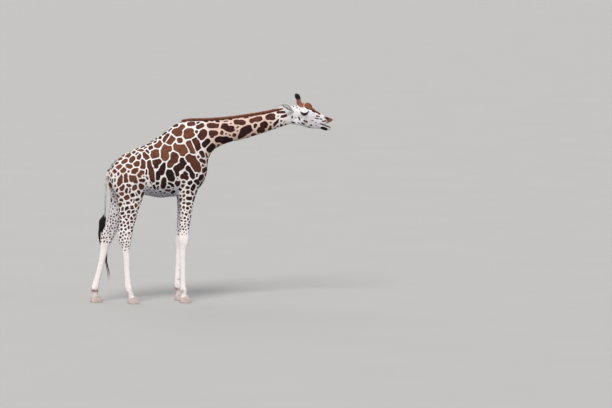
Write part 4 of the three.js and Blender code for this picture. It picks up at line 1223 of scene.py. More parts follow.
def head_flesh():
    """The head with its mouth, nostrils and openings between the lids, and the neck's upper end."""
    neck = loft(64, 40, body_section(SPINE, BODY_SKIN_INSET), (0.76, 1))
    skull = loft(72, 96, body_section(HEAD, HEAD_SKIN_INSET))
    forms = [egg(*form) for form in (*CROWN, CHIN)]
    for side in SIDES.values():
        forms += face_swellings(side)
    skull_tree, *trees = [BVHTree.FromBMesh(bm) for bm in (skull, *forms, neck)]
    head = fuse(piece_from([neck, skull, *forms], "head"), 4.6)
    blend(head, skull_tree, trees, 13, 12)
    cutters = [mouth_cutter()]
    nx, ny, nz = NOSTRIL["at"]
    for side in SIDES.values():
        cutters += [lid_cutter(side), egg((nx, ny + 4, nz), NOSTRIL["size"], NOSTRIL["tilt"], side)]
    carve(head, cutters)
    fuse(head, HEAD_MESH)
    x, _, z = in_mm(places_of(head.data)).T
    lips = np.minimum(np.abs(z - mouth_line(x)), np.abs(z - mouth_roof(x))) < 15
    soften(head, np.where(lips & (x > MOUTH["corner"][0] + 20), 0.9, 0), 6)
    return soften(head, np.full(len(head.data.vertices), 0.55), 2)


# Place, half sizes and tilt of the forms under the skin of each side.
MUSCLES = (
    ((420, 118, 1760), (90, 62, 170), -0.15),  # point of the shoulder
    ((250, 128, 2050), (70, 60, 230), 0.35),  # shoulder blade
    ((-380, 118, 1740), (170, 92, 190), 0.3),  # thigh
    ((-560, 90, 1820), (90, 70, 120), 0.5),  # haunch
)

LEG_ROOTS = ((0, 0, 1280), (620, 0, 2250))  # the lowest and the foremost and highest place of the legs' roots


def body_flesh():
    """Trunk, neck, legs and the tail's root as one closed surface."""
    spine = loft(72, 150, body_section(SPINE, BODY_SKIN_INSET))
    legs = [loft(36, 110, leg_section(name, BODY_SKIN_INSET)) for name in STANCE]
    tail = loft(24, 12, tube_section(TAIL, inset=1), (0, 0.28))
    spine_tree, *leg_trees = [BVHTree.FromBMesh(bm) for bm in (spine, *legs)]
    forms = [egg(place, size, tilt, side) for place, size, tilt in MUSCLES for side in SIDES.values()]
    body = fuse(piece_from([spine, *legs, tail, *forms], "body"), BODY_MESH)
    (_, _, low), (fore, _, high) = (at(*corner) for corner in LEG_ROOTS)
    blend(body, spine_tree, leg_trees, 110, 28, lambda place: low < place.z < high and place.x < fore)
    refine(body)
    return soften(body, np.full(len(body.data.vertices), 0.5), 2)


FINE_LEGS = 1400  # below this height the legs' spots are small, so the skin is finer


def refine(body):
    """Divides the faces of the legs where their spots are small."""
    bm = opened(body.data)
    high, tail = at(0, 0, FINE_LEGS).z, at(-705, 0, FINE_LEGS - 250)
    edges = set()
    for face in bm.faces:
        middle = face.calc_center_median()
        if middle.z < high and (middle.x > tail.x or middle.z < tail.z):
            edges.update(face.edges)
    bmesh.ops.subdivide_edges(bm, edges=list(edges), cuts=1, use_grid_fill=True)
    write_back(bm, body.data)


SKIN_JOINT = ((1640, 0, 2440), (0.98, 0, 0.2))  # where the fine mesh of the head meets the body's


def half_of(obj, forward):
    """The part of an object in front of or behind the skin's joint, as a bmesh open there."""
    bm = opened(obj.data)
    normal = Vector(SKIN_JOINT[1]).normalized()
    bmesh.ops.bisect_plane(
        bm,
        geom=[*bm.verts, *bm.edges, *bm.faces],
        dist=1e-6,
        plane_co=at(*SKIN_JOINT[0]) + normal * (0.003 if forward else -0.003),
        plane_no=normal,
        clear_inner=forward,
        clear_outer=not forward,
    )
    return bm


def whole_skin():
    """Head and body joined in one skin, with the free part of the tail."""
    body, head = body_flesh(), head_flesh()
    skin = piece_from([half_of(body, False), half_of(head, True)], "skin")
    for old in (body, head):
        bpy.data.objects.remove(old)
    bm = opened(skin.data)
    bmesh.ops.bridge_loops(bm, edges=[e for e in bm.edges if e.is_boundary])
    join(bm, loft(20, 90, tube_section(TAIL, inset=0.5), (0.1, 1)))
    bmesh.ops.recalc_face_normals(bm, faces=bm.faces)
    write_back(bm, skin.data)
    return skin


# ------------------------------------------------------------------ coat


def scatter(skin, wanted, density, rng):
    """Even random roots where wanted(mm) holds on the skin, so many for each square metre."""
    mesh = skin.data
    mesh.calc_loop_triangles()
    corners = np.empty(len(mesh.loop_triangles) * 3, np.int32)
    mesh.loop_triangles.foreach_get("vertices", corners)
    corners = corners.reshape(-1, 3)
    places, normals = places_of(mesh), normals_of(mesh)
    centres = places[corners].mean(axis=1)
    corners = corners[wanted(in_mm(centres))]
    a, b, c = (places[corners[:, k]] for k in range(3))
    areas = np.linalg.norm(np.cross(b - a, c - a), axis=1) / 2
    ends = np.cumsum(areas)
    count = int(ends[-1] * density)
    picks = (np.arange(count) + rng.random(count)) / count * ends[-1]
    chosen = corners[np.minimum(np.searchsorted(ends, picks), len(corners) - 1)]
    u, v = rng.random(count), rng.random(count)
    over = u + v > 1
    u[over], v[over] = 1 - u[over], 1 - v[over]
    shares = columns(1 - u - v, u, v)[:, :, None]
    roots = (places[chosen] * shares).sum(axis=1)
    return roots, unit((normals[chosen] * shares).sum(axis=1))


def hair_lay(mm, normals):
    """Where the hair points: back and down the trunk, back along neck and head, down the legs."""
    neck = smooth_step(mm[:, 0], 450, 700)
    head = smooth_step(on_head(mm), -40, 60)
    leg = smooth_step(-mm[:, 2], -1560, -1250)
    way = np.array([-0.85, 0, -0.55])
    for share, turned in ((neck, (-0.97, 0, -0.3)), (head, (-0.9, 0, 0.42)), (leg, (-0.1, 0, -1.0))):
        way = way * (1 - share[:, None]) + np.array(turned) * share[:, None]
    return along_surface(way, normals)


def unwrap(mm, region):
    """A flat place, 0 to 1 both ways, for each place on a region of the skin, opened out round its length."""
    x, y, z = mm.T
    if region == "legs":
        offset, which = nearest_leg(mm)
        turn = turn_round(offset[:, 1], offset[:, 0])
        return columns((which % 2 + turn) / 2, np.clip(z / 1500, 0, 1))
    if region == "head":
        along = (on_head(mm) + 120) / 760
        turn = turn_round(y, z - (2500 - 0.22 * (x - HEAD_JOINT[0])))
        return columns(turn, np.clip(along, 0, 1))
    rows = np.array(SPINE)
    line = columns((rows[:, 0] + rows[:, 2]) / 2, (rows[:, 1] + rows[:, 3]) / 2)
    middle = np.interp(x, line[:, 0], line[:, 1])
    turn = turn_round(y, z - middle)
    low, high = {"trunk": (-760, 100), "shoulder": (40, 620), "neck": (580, 1800)}[region]
    return columns(turn, np.clip((x - low) / (high - low), 0, 1))


def mesh_of(name, verts, faces, patches, values, shading=None):
    """A mesh from arrays of triangles, with an OFBake map and named values, and its shading if given."""
    mesh = bpy.data.meshes.new(name)
    mesh.vertices.add(len(verts))
    mesh.vertices.foreach_set("co", verts.astype(np.float32).ravel())
    mesh.loops.add(len(faces) * 3)
    mesh.loops.foreach_set("vertex_index", faces.astype(np.int32).ravel())
    mesh.polygons.add(len(faces))
    mesh.polygons.foreach_set("loop_start", np.arange(len(faces), dtype=np.int32) * 3)
    mesh.polygons.foreach_set("use_smooth", [True] * len(faces))
    mesh.update(calc_edges=True)
    layer = mesh.uv_layers.new(name="OFBake")
    layer.data.foreach_set("uv", patches[faces.ravel()].astype(np.float32).ravel())
    give_values(mesh, values)
    if shading is not None:
        mesh.normals_split_custom_set_from_vertices(shading.tolist())
    return link(name, mesh)


BAKE_PATCH = 0.003  # how wide one tuft's patch of the OFBake map is
TUFT_FACES = np.array([(0, 3, 1), (0, 2, 3), (0, 1, 2), (4, 1, 3), (4, 3, 2), (4, 2, 1)])
TUFT_PATCH = np.array([(0.5, 0), (0, 0.4), (1, 0.4), (0.5, 0.5), (0.5, 1)]) * BAKE_PATCH
TUFT_READS = (0, 1, 1, 1, 2)  # which of its three readings of the coat each corner of a tuft takes


def tufts(name, roots, normals, lay, sizes, flat, values_at, rng):
    """Flat closed tufts: a root sunk in the skin, a broad middle, and a tip that lies along the coat. They
    are shaded nearly as the skin is, so that they read as one coat."""
    count = len(roots)
    length, width, lift = sizes
    turn = rng.normal(0, 0.14, count)[:, None]
    side = np.cross(normals, lay)
    lay, side = lay * np.cos(turn) + side * np.sin(turn), side * np.cos(turn) - lay * np.sin(turn)
    long = (length * rng.uniform(0.75, 1.25, count))[:, None]
    half = (width * rng.uniform(0.75, 1.2, count) / 2)[:, None]
    rise = (lift * rng.uniform(0.5, 1.3, count))[:, None]
    middle = roots + lay * long * 0.42
    broad = middle + normals * rise * 0.4
    tip = roots + lay * long + normals * rise * 0.8
    sunk, ridge = roots - normals * 0.25 * rise, broad + normals * (0.2 * rise + 0.14 * half)
    verts = columns(sunk, broad + side * half, broad - side * half, ridge, tip)
    reads = columns((roots + middle) / 2, middle, (middle + roots + lay * long) / 2)
    values = values_at(reads.reshape(-1, 3), np.repeat(normals, 3, axis=0))
    faces = (np.arange(count)[:, None, None] * 5 + TUFT_FACES).reshape(-1, 3)
    flat = flat * (1 - 2 * BAKE_PATCH) + BAKE_PATCH
    patches = (flat[:, None, :] + TUFT_PATCH - BAKE_PATCH / 2).reshape(-1, 2)
    spread = {key: read.reshape(-1, 3)[:, TUFT_READS].ravel() for key, read in values.items()}
    leans = columns(lay * -0.25, side * 0.3, side * -0.3, lay * 0, lay * 0.2)
    shading = unit(normals[:, None] + leans).reshape(-1, 3)
    return mesh_of(name, verts.reshape(-1, 3), faces, patches, spread, shading)


def on_trunk(mm):
    return (mm[:, 2] >= LEG_TOP) & (mm[:, 0] < SHOULDER_BACK) & ~on_tail(mm)


def on_shoulder(mm):
    return (mm[:, 2] >= LEG_TOP) & (mm[:, 0] >= SHOULDER_BACK) & (mm[:, 0] < NECK_BASE)


def on_neck(mm):
    return (mm[:, 0] >= NECK_BASE) & (mm[:, 2] > 1500) & (on_head(mm) < FACE_BACK)


def on_forelegs(mm):
    return (mm[:, 2] < LEG_TOP) & (mm[:, 2] > HOOF_TOP) & (mm[:, 0] > MID_TRUNK)


def on_hindlegs(mm):
    return (mm[:, 2] < LEG_TOP) & (mm[:, 2] > HOOF_TOP) & (mm[:, 0] <= MID_TRUNK) & ~on_tail(mm)


def on_face(mm):
    return (on_head(mm) >= FACE_BACK) & (bare_skin(mm) < 0.5) & ~near_lids(mm)


# Name, region, where it grows, tufts for each square metre, length, width and lift in millimetres.
COAT = (
    ("coat_trunk", "trunk", on_trunk, 19000, 22, 3.8, 1.3),
    ("coat_tail", "trunk", on_tail, 30000, 16, 3.0, 1.2),
    ("coat_shoulder", "shoulder", on_shoulder, 19000, 22, 3.8, 1.3),
    ("coat_neck", "neck", on_neck, 29000, 17, 3.2, 1.2),
    ("coat_forelegs", "legs", on_forelegs, 34000, 11, 3.3, 0.7),
    ("coat_hindlegs", "legs", on_hindlegs, 29500, 12, 3.4, 0.7),
    ("coat_head", "head", on_face, 60000, 7.5, 1.8, 0.7),
)


# ------------------------------------------------------------------ long hair


def strands(name, paths, half_widths, flat, thick, patches=None):
    """Closed tapering locks, three-sided, along paths of points; the last point is the tip. flat is the
    direction of a lock's width, and thick its depth against half of that."""
    count, points, _ = paths.shape
    tangents = unit(np.gradient(paths, axis=1))
    across = along_surface(flat, tangents)
    over = np.cross(tangents, across)
    half = half_widths[:, :, None]
    rings = points - 1
    edges = (paths + across * half, paths - across * half, paths + over * half * thick)
    ring_verts = np.stack(edges, axis=2)[:, :rings].reshape(count, rings * 3, 3)
    verts = np.concatenate([ring_verts, paths[:, -1:]], axis=1)
    each = rings * 3 + 1
    faces = [(0, 1, 2)]
    for k in range(rings - 1):
        for a, b in ((0, 1), (1, 2), (2, 0)):
            low_a, low_b, high_a, high_b = 3 * k + a, 3 * k + b, 3 * k + 3 + a, 3 * k + 3 + b
            faces += [(low_a, high_a, low_b), (low_b, high_a, high_b)]
    tip, last = each - 1, 3 * (rings - 1)
    faces += [(last, tip, last + 1), (last + 1, tip, last + 2), (last + 2, tip, last)]
    faces = (np.arange(count)[:, None, None] * each + np.array(faces)).reshape(-1, 3)
    if patches is None:
        cells = columns(np.arange(count) % 64, np.arange(count) // 64 % 64)
        patches = (cells + 0.5) / 64
    share = np.repeat(np.linspace(0, 1, points)[:-1], 3).tolist() + [1.0]
    spread = columns(np.tile([0, 1, 0.5], rings).tolist() + [0.5], share) * BAKE_PATCH
    flat_places = (patches[:, None, :] * (1 - BAKE_PATCH) + spread).reshape(-1, 2)
    obj = mesh_of(name, verts.reshape(-1, 3), faces, flat_places, {"tip": np.tile(share, count)})
    bm = opened(obj.data)
    bmesh.ops.recalc_face_normals(bm, faces=bm.faces)
    write_back(bm, obj.data)
    return obj


def taper(points, half, power=1.6, full=0.25):
    """Half widths along each lock: full at first, then narrowing to its tip."""
    share = np.clip((np.linspace(0, 1, points) - full) / (1 - full), 0, 1)
    return half[:, None] * (1 - 0.92 * share**power)


def crest_points(samples):
    """Places along the crest of the neck between the ends of the mane, with their directions."""
    rows = [catmull(SPINE, k / 800)[:2] for k in range(801)]
    line = np.array([r for r in rows if MANE[0] <= r[0] <= MANE[1]])
    steps = np.concatenate([[0], np.cumsum(np.linalg.norm(np.diff(line, axis=0), axis=1))])
    where = samples * steps[-1]
    x, z = np.interp(where, steps, line[:, 0]), np.interp(where, steps, line[:, 1])
    dx, dz = np.gradient(line[:, 0], steps), np.gradient(line[:, 1], steps)
    along = unit(columns(np.interp(where, steps, dx), 0 * where, np.interp(where, steps, dz)))
    up = columns(-along[:, 2], 0 * where, along[:, 0])
    return columns(x, 0 * where, z), along, up


def to_metres(mm):
    """Rows of places in millimetres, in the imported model's metres."""
    return mm * MM - np.array(ORIGIN)


# Part of the line at which a bundle ends, where across the tassel it hangs, strands, phase of its curl.
TASSEL_BUNDLES = (
    (0.62, (-0.7, 0.3), 36, 0.0), (0.68, (-0.35, -0.6), 40, 1.1), (0.66, (0.0, 0.7), 40, 2.3),
    (0.71, (0.3, -0.4), 38, 3.1), (0.65, (0.65, 0.4), 36, 4.4), (0.55, (0.8, -0.5), 26, 5.2),
    (0.52, (-0.8, -0.4), 26, 0.7), (0.97, (0.5, 0.1), 26, 2.9), (0.99, (0.15, -0.2), 24, 4.0),
    (0.995, (-0.3, 0.2), 22, 3.4), (0.84, (0.5, 0.2), 12, 1.9), (0.79, (-2.2, 0.2), 24, 1.6),
    (0.72, (-1.8, -0.2), 20, 2.2),
)


MANE_LOCKS = 3600
MANE_HEIGHT = 40  # in millimetres, over the crest
MANE_ROOT = 9  # how deep its locks are rooted in the neck


def make_mane():
    """Upright locks along the crest of the neck, leaning a little back."""
    rng = np.random.default_rng(11)
    count = MANE_LOCKS
    samples = np.sort(rng.random(count))
    base, along, up = crest_points(samples)
    across = np.array([0.0, 1.0, 0.0])
    aside = rng.normal(0, 5.5, count)[:, None]
    ends = np.minimum(1, 0.5 + 6 * np.minimum(samples, 1 - samples))
    tall = MANE_HEIGHT * ends * rng.uniform(0.82, 1.06, count) * (1 - 0.02 * np.abs(aside[:, 0]))
    rise = (tall + MANE_ROOT)[:, None]
    lean = (9 + rng.normal(0, 3.5, count))[:, None]
    root = base - up * MANE_ROOT + across * aside
    sway = rng.normal(0, 2.2, count)[:, None]
    points = [
        root + up * rise * s - along * lean * s**1.8 + across * (aside * 0.35 * s + sway * s**2)
        for s in (0, 0.35, 0.68, 1)
    ]
    paths = to_metres(columns(*points))
    half = taper(4, rng.uniform(2.2, 3.6, count) * MM)
    patches = columns((aside[:, 0] / 40 + 0.5).clip(0, 1), samples)
    return strands("mane", paths, half, along[:, None], 0.5, patches)


def make_tassel():
    """Long wavy locks in bundles of different lengths."""
    rng = np.random.default_rng(5)
    points = 20
    share = np.linspace(0, 1, points)
    samples = np.linspace(0, 1, 301)
    line = np.array([catmull(TASSEL, s) for s in samples])
    paths = []
    for end, (fore, aside), count, phase in TASSEL_BUNDLES:
        for _ in range(count):
            stop = end * rng.uniform(0.86, 1.0)
            where = 0.02 + (stop - 0.02) * share
            x, y, z, half, thick = (np.interp(where, samples, column) for column in line.T)
            fan = np.minimum(1, 4.5 * share + 0.12)
            angle, spread = rng.uniform(0, 2 * math.pi), 0.5 * math.sqrt(rng.random())
            close = (1 - 0.8 * share**2) * fan
            turn = 7.5 + 17 * where + phase + rng.normal(0, 0.25)
            wave = (3 + 12 * share) * np.minimum(1, 3 * share)
            x = x + half * (0.62 * fore * fan + spread * math.cos(angle) * close) + 0.7 * wave * np.sin(turn)
            y = y + thick * (0.8 * aside * fan + spread * math.sin(angle) * close) + 0.5 * wave * np.cos(turn)
            paths.append(columns(x, y, z))
    half = taper(points, rng.uniform(2.0, 3.3, len(paths)) * MM, 1.2, 0.3)
    return strands("tail_tuft", to_metres(np.array(paths)), half, np.array([1.0, 0, 0]), 0.6)


# ------------------------------------------------------------------ ossicones


def on_side(place, side):
    """A place of the left side, or its mirror image on the right, as a vector in millimetres."""
    return Vector((place[0], side * place[1], place[2]))


def give_height(piece, root, tip):
    """Gives a piece's vertices their height, 0 at a root and 1 at a tip."""
    give_values(piece.data, {"height": (in_mm(places_of(piece.data))[:, 2] - root[2]) / (tip[2] - root[2])})
    return piece


def make_ossicone(name, side):
    """The knob in its skin, with its root spread over the skull."""
    root, tip = on_side(OSSICONE_ROOT, side), on_side(OSSICONE_TIP, side)

    def section(t):
        share, radius = catmull(OSSICONE, t)
        place = root.lerp(tip, share)
        dome = math.sqrt(max(0.02, 1 - max(0.0, (t - 0.9) / 0.1) ** 2))
        radius = (radius - 1.5) * dome
        return at(*place), Vector((radius * 1.12 * MM, 0, 0)), Vector((0, radius * MM, 0)), 0, 2

    return give_height(piece_from([loft(40, 44, section)], "ossicone_knob_" + name), root, tip)


OSSICONE_HAIRS = 2000
BRUSH_FROM = 0.68  # the part of an ossicone's length at which its long hair begins


def make_ossicone_hair(name, side):
    """Short hair up the knob, then a round brush of long black hair over its top."""
    rng = np.random.default_rng(31 + side)
    count = OSSICONE_HAIRS
    root, tip = (np.array(on_side(place, side)) for place in (OSSICONE_ROOT, OSSICONE_TIP))
    axis = tip - root
    share = rng.random(count) ** 0.72
    radius = np.array([catmull(OSSICONE, s)[1] for s in share])
    turn = rng.uniform(0, 2 * math.pi, count)
    out = columns(np.cos(turn), np.sin(turn), 0 * turn)
    base = root + axis * share[:, None] + out * (radius * 0.94)[:, None] * np.array([1.12, 1, 1])
    brushed = share > BRUSH_FROM
    top = np.clip((share - BRUSH_FROM) / (1 - BRUSH_FROM), 0, 1) ** 0.8 * math.pi / 2
    brush = root + axis * (0.86 + 0.28 * np.sin(top) ** 1.3)[:, None]
    brush = brush + out * (3 + 19 * np.cos(top) ** 0.7)[:, None] + rng.normal(0, 2.2, (count, 3))
    lying = base + axis / np.linalg.norm(axis) * rng.uniform(9, 15, count)[:, None] + out * 1.8
    end = np.where(brushed[:, None], brush, lying)
    bend = np.where(brushed[:, None], out * 7, out * 0.8)
    points = [
        base * (1 - s) + end * s - out * 1.5 * (1 - s) + bend * 4 * s * (1 - s) for s in (0, 0.4, 0.75, 1)
    ]
    paths = to_metres(columns(*points))
    half = taper(4, (1.3 + 0.7 * brushed) * MM)
    flat = columns(-out[:, 1], out[:, 0], 0 * turn)[:, None]
    patches = columns(turn / (2 * math.pi), share)
    return give_height(strands("ossicone_hair_" + name, paths, half, flat, 0.5, patches), root, tip)


def ossicone_material():
    """Brown short hair that turns black at the tufted top."""
    material, wire, shader, place = new_material("ossicone coat")
    fine = wire.noise(place, 260, 3)
    height = wire.total(wire.reading("height"), wire.spread(fine, -0.05, 0.05))
    # The shafts' brown is made lighter than the crown's to paint in the light falling on them.
    colours = ((0.0, "nose"), (0.2, "lit_stem"), (0.7, "lit_stem"), (0.79, "black"))
    colour = wire.ramp(height, [(share, paint(hair)) for share, hair in colours])
    settings = {"Base Color": colour, "Roughness": wire.spread(fine, 0.6, 0.8), "Specular IOR Level": 0.3}
    finish(wire, shader, settings, (0.5, 0.001, fine))
    return material


# ------------------------------------------------------------------ ears

# Along the ear, root to tip: half its width, depth of its cup, how far round its wall reaches.
EAR = (
    (19, 16, 178), (24, 17, 172), (36, 19, 140), (45, 20, 116), (47, 19, 106), (40, 15, 100), (24, 10, 94),
    (2, 2, 90),
)
EAR_WALL = 5.0
EAR_OPENING = (0.1, 0.92, -0.05)  # the way that the left ear's cup faces
EAR_ROOT_LENGTH = 14  # how far its tube reaches into the skull


def ear_axes(name, side):
    """The ear's root, its length and its three directions: along, out of the cup and across it."""
    root, tip = on_side(EAR_ROOT, side), on_side(EAR_TIP[name], side)
    axis = (tip - root).normalized()
    opening = on_side(EAR_OPENING, side)
    opening = (opening - axis * opening.dot(axis)).normalized()
    return root, (tip - root).length, axis, opening, axis.cross(opening)


def make_ear(name, side):
    """A leaf-shaped cup on a short tube, open outwards and down."""
    root, length, axis, opening, across = ear_axes(name, side)
    rings = 52
    cuts = [catmull(EAR, k / rings) for k in range(rings + 1)]

    def place(ring, turn):
        leaf, cup, wall = cuts[ring]
        angle = math.radians(wall) * math.cos(turn)
        inset = EAR_WALL * (1 - math.sin(turn)) / 2
        t = ring / rings
        bow = 12 * math.sin(t * 2.4) - 6
        lean = opening * (bow + 10 - max(cup - inset, 0.5) * math.cos(angle))
        along = axis * (t * (length + EAR_ROOT_LENGTH) - EAR_ROOT_LENGTH)
        return at(*(root + along + lean + across * (max(leaf - inset, 0.5) * math.sin(angle))))

    ear = piece_from([tube(56, rings, place)], "ear_skin_" + name)
    give_values(ear.data, ear_values(name, side)(places_of(ear.data), normals_of(ear.data)))
    return ear


def ear_values(name, side):
    """The function that gives the coat's values on an ear: white, with a dark painted shadow along the middle
    of its cup's inside.
    """
    root, length, axis, opening, across = ear_axes(name, side)
    down = across if across.z < 0 else -across

    def values(places, normals):
        count = len(places)
        mm = in_mm(places) - np.array(root)
        along = mm @ np.array(axis) / length
        leaf = np.interp(along, np.linspace(0, 1, len(EAR)), [row[0] for row in EAR])
        inner = smooth_step(normals @ np.array(opening), 0.0, 0.4) * smooth_step(along, -0.02, 0.06)
        wobble = noise_at(places, 60)
        low = mm @ np.array(down) / leaf
        # Painted shadow: the cup's inside is darkened along its middle in the colour of hairless skin.
        shadow_channel = np.exp(-(((low - 0.12 + 0.1 * wobble) / 0.15) ** 2)) * inner
        shadow_channel = shadow_channel * (1 - smooth_step(along, 0.86, 0.98))
        return {
            "edge": np.full(count, -20.0),
            "tone": np.full(count, 0.4),
            "ground": np.clip(0.04 + 0.1 * wobble, 0, 1),
            # A faint random touch of the painted-shade grey.
            "shade": np.clip(0.04 + 0.2 * wobble, 0, 1),
            "stain": np.zeros(count),
            "bare": np.clip(1.25 * shadow_channel, 0, 1),
        }

    return values


def make_ear_coat(name, side, rng):
    """Short tufts all over an ear, longer inside the cup's rim."""
    ear = bpy.data.objects["ear_skin_" + name]
    root, length, axis, opening, across = ear_axes(name, side)
    roots, normals = scatter(ear, lambda mm: np.full(len(mm), True), 55000, rng)
    way = along_surface(np.array(axis), normals)
    mm = in_mm(roots) - np.array(root)
    along = np.clip(mm @ np.array(axis) / length, 0, 1)
    turn = turn_round(mm @ np.array(across), -(mm @ np.array(opening)))
    flat, sizes = columns(turn, along), (9 * MM, 2 * MM, 0.9 * MM)
    return tufts("coat_ear_" + name, roots, normals, way, sizes, flat, ear_values(name, side), rng)


# ------------------------------------------------------------------ eyes, lids and lashes


def make_eye(name, side):
    return piece_from([egg(EYE_AT, (EYE_RADIUS,) * 3, 0, side, 48, 32)], "eyeball_" + name)


def make_lids(name, side):
    """A rounded dark rim round the opening, thicker above."""
    rows = []
    for k in range(65):
        turn = 2 * math.pi * k / 64
        thick = 3.0 + 1.8 * max(0.0, math.sin(turn))
        rows.append((*lid_rim(turn, side, 1.0), thick, thick * 0.8))
    return piece_from([loft(10, 128, tube_section(rows, Vector((0, side, 0))))], "eyelids_" + name)


LASHES = 240


def make_lashes(name, side):
    """Lashes round the opening, the upper ones long and drooping."""
    rng = np.random.default_rng(3 + side)
    count = LASHES
    upper = rng.random(count) < 0.85
    around = rng.random(count)
    turn = np.where(upper, 0.1 + 2.94 * around, math.pi + 0.5 + 2.1 * around)
    paths = np.empty((count, 5, 3))
    for i in range(count):
        start = lid_rim(turn[i], side, 2.0)
        long = (32 if upper[i] else 12) * rng.uniform(0.75, 1.1)
        fan = math.cos(turn[i]) * 0.55
        lift, droop = (0.28, 0.72) if upper[i] else (-0.1, 0.35)
        for k in range(5):
            s = k / 4
            out = side * long * (0.85 * s - 0.3 * s * s)
            rise = (lift * s - droop * s * s) * long
            paths[i, k] = (start.x + fan * long * s, start.y + out, start.z + rise)
    half = taper(5, rng.uniform(0.6, 0.9, count) * MM, 1.2, 0.2)
    return strands("lashes_" + name, to_metres(paths), half, np.array([1.0, 0, 0]), 0.8)


PUPIL = (0.011, 0.0065)  # half its length and half its height, in metres
IRIS = 0.018  # its radius


def eye_material():
    """A wet brown eye with a long level pupil."""
    material, wire, shader, place = new_material("wet eye")
    parts = wire.add("ShaderNodeSeparateXYZ", {0: place})
    centre = at(*EYE_AT)
    x = wire.math("SUBTRACT", parts.outputs[0], centre.x)
    z = wire.math("SUBTRACT", parts.outputs[2], centre.z - 0.002)
    pupil = wire.away(wire.math("DIVIDE", x, PUPIL[0]), wire.math("DIVIDE", z, PUPIL[1]))
    iris = wire.math("DIVIDE", wire.away(x, z), IRIS)
    streaks = wire.noise(place, 380, 2)
    colour = wire.mix(streaks, (0.02, 0.009, 0.005, 1), (0.075, 0.032, 0.014, 1))
    colour = wire.mix(wire.range(pupil, 0.85, 1.15, 1, 0), colour, (0.002, 0.002, 0.003, 1))
    colour = wire.mix(wire.range(iris, 0.95, 1.15), colour, paint("bare"))
    settings = {"Base Color": colour, "Roughness": 0.08, "Coat Weight": 0.7, "Coat Roughness": 0.02}
    finish(wire, shader, settings)
    return material


def skin_material(name, colour, rough, scale=500):
    """Bare dark skin, finely creased."""
    material, wire, shader, place = new_material(name)
    fine = wire.noise(place, scale, 4)
    settings = {"Base Color": wire.mix(fine, toned(colour, 0.55), colour)}
    settings["Roughness"] = wire.spread(fine, rough - 0.08, rough + 0.12)
    finish(wire, shader, settings, (0.4, 0.0006, fine))
    return material


# ------------------------------------------------------------------ tongue and hooves


def rounded_copy(node, name, sharp):
    """A smooth copy of a CAD node: merged, subdivided, its sharp edges kept where sharp(edge) says so."""
    bm = opened(frame["nodes"][node].data)
    bmesh.ops.remove_doubles(bm, verts=bm.verts, dist=1e-5)
    bmesh.ops.dissolve_limit(bm, angle_limit=math.radians(1), verts=bm.verts, edges=bm.edges)
    crease = bm.edges.layers.float.new("crease_edge")
    for edge in bm.edges:
        edge[crease] = sharp(edge)
    piece = piece_from([bm], name)
    modifier = piece.modifiers.new("round", "SUBSURF")
    modifier.levels = modifier.render_levels = 2
    return settle(piece)


def hoof_edge(edge):
    """The sole's rim stays crisp, the coronet a little less so."""
    if len(edge.link_faces) < 2:
        return 1.0
    if edge.calc_face_angle(0.0) < math.radians(38):
        return 0.0
    return 0.8 if min(v.co.z for v in edge.verts) < 0.01 else 0.3


def hoof_material():
    """Grey-brown horn with growth rings, darker and browner towards the floor."""
    material, wire, shader, place = new_material("hoof horn")
    parts = wire.add("ShaderNodeSeparateXYZ", {0: place})
    squash = wire.add("ShaderNodeMapping", {"Vector": place, "Scale": (6.0, 6.0, 190.0)})
    rings = wire.noise(squash.outputs[0], 1.0, 3)
    blotch = wire.noise(place, 34, 4)
    colour = wire.mix(wire.spread(blotch), paint("horn_dark"), paint("horn"))
    colour = wire.mix(wire.range(rings, 0.35, 0.65, 0, 0.35), colour, paint("horn_pale"))
    height = wire.total(parts.outputs[2], wire.spread(blotch, -0.01, 0.01))
    colour = wire.mix(wire.range(height, 0.0, 0.03, 0.55, 0), colour, (0.30, 0.24, 0.19, 1))
    settings = {"Base Color": colour, "Roughness": wire.spread(rings, 0.42, 0.62)}
    finish(wire, shader, settings, (0.5, 0.0015, rings))
    return material


# ------------------------------------------------------------------ settings and operators


def colour_property(name, description, default):
    return FloatVectorProperty(
        name=name, description=description, default=default, subtype="COLOR", size=3, min=0.0, max=1.0
    )


class GiraffeCoat(bpy.types.PropertyGroup):
    """Colours of the coat, horn and skin."""

    fawn: colour_property("Fawn", "Lightest hair of the patches", (0.215, 0.08, 0.04))
    chestnut: colour_property("Chestnut", "Most patches of the shoulder and rump", (0.105, 0.036, 0.02))
    liver: colour_property("Liver", "Darker patches", (0.042, 0.013, 0.009))
    black: colour_property("Black", "Darkest patches and the tufts", (0.009, 0.005, 0.005))
    white: colour_property("White", "Hair of the lower legs, cheeks and lines", (0.80, 0.775, 0.775))
    cream: colour_property("Cream", "Ground of the neck", (0.62, 0.41, 0.32))
    # The grey of painted shade on the belly's underside, the inner legs and the face, not a colour of thinly
    # haired skin.
    painted_shade_grey: colour_property("Slate", "Thinly haired belly and inner legs", (0.48, 0.48, 0.54))
    nose: colour_property("Nose", "Hair of nose and crown", (0.155, 0.057, 0.031))
    # The shafts' brown, made lighter to paint in the light falling on them.
    lit_stem: colour_property("Ossicone", "Short hair up the ossicones", (0.29, 0.125, 0.07))
    # Also used for the painted shadow round the eyes and along the inside of the ears.
    bare: colour_property("Bare skin", "Hairless skin of lids, lips and nostrils", (0.011, 0.009, 0.011))
    mane: colour_property("Mane", "Hair of the mane", (0.15, 0.045, 0.018))
    horn: colour_property("Horn", "Horn of the hooves", (0.47, 0.39, 0.365))
    horn_dark: colour_property("Dark horn", "Darker streaks in the horn", (0.31, 0.245, 0.225))
    horn_pale: colour_property("Pale horn", "Growth rings of the horn", (0.58, 0.50, 0.475))


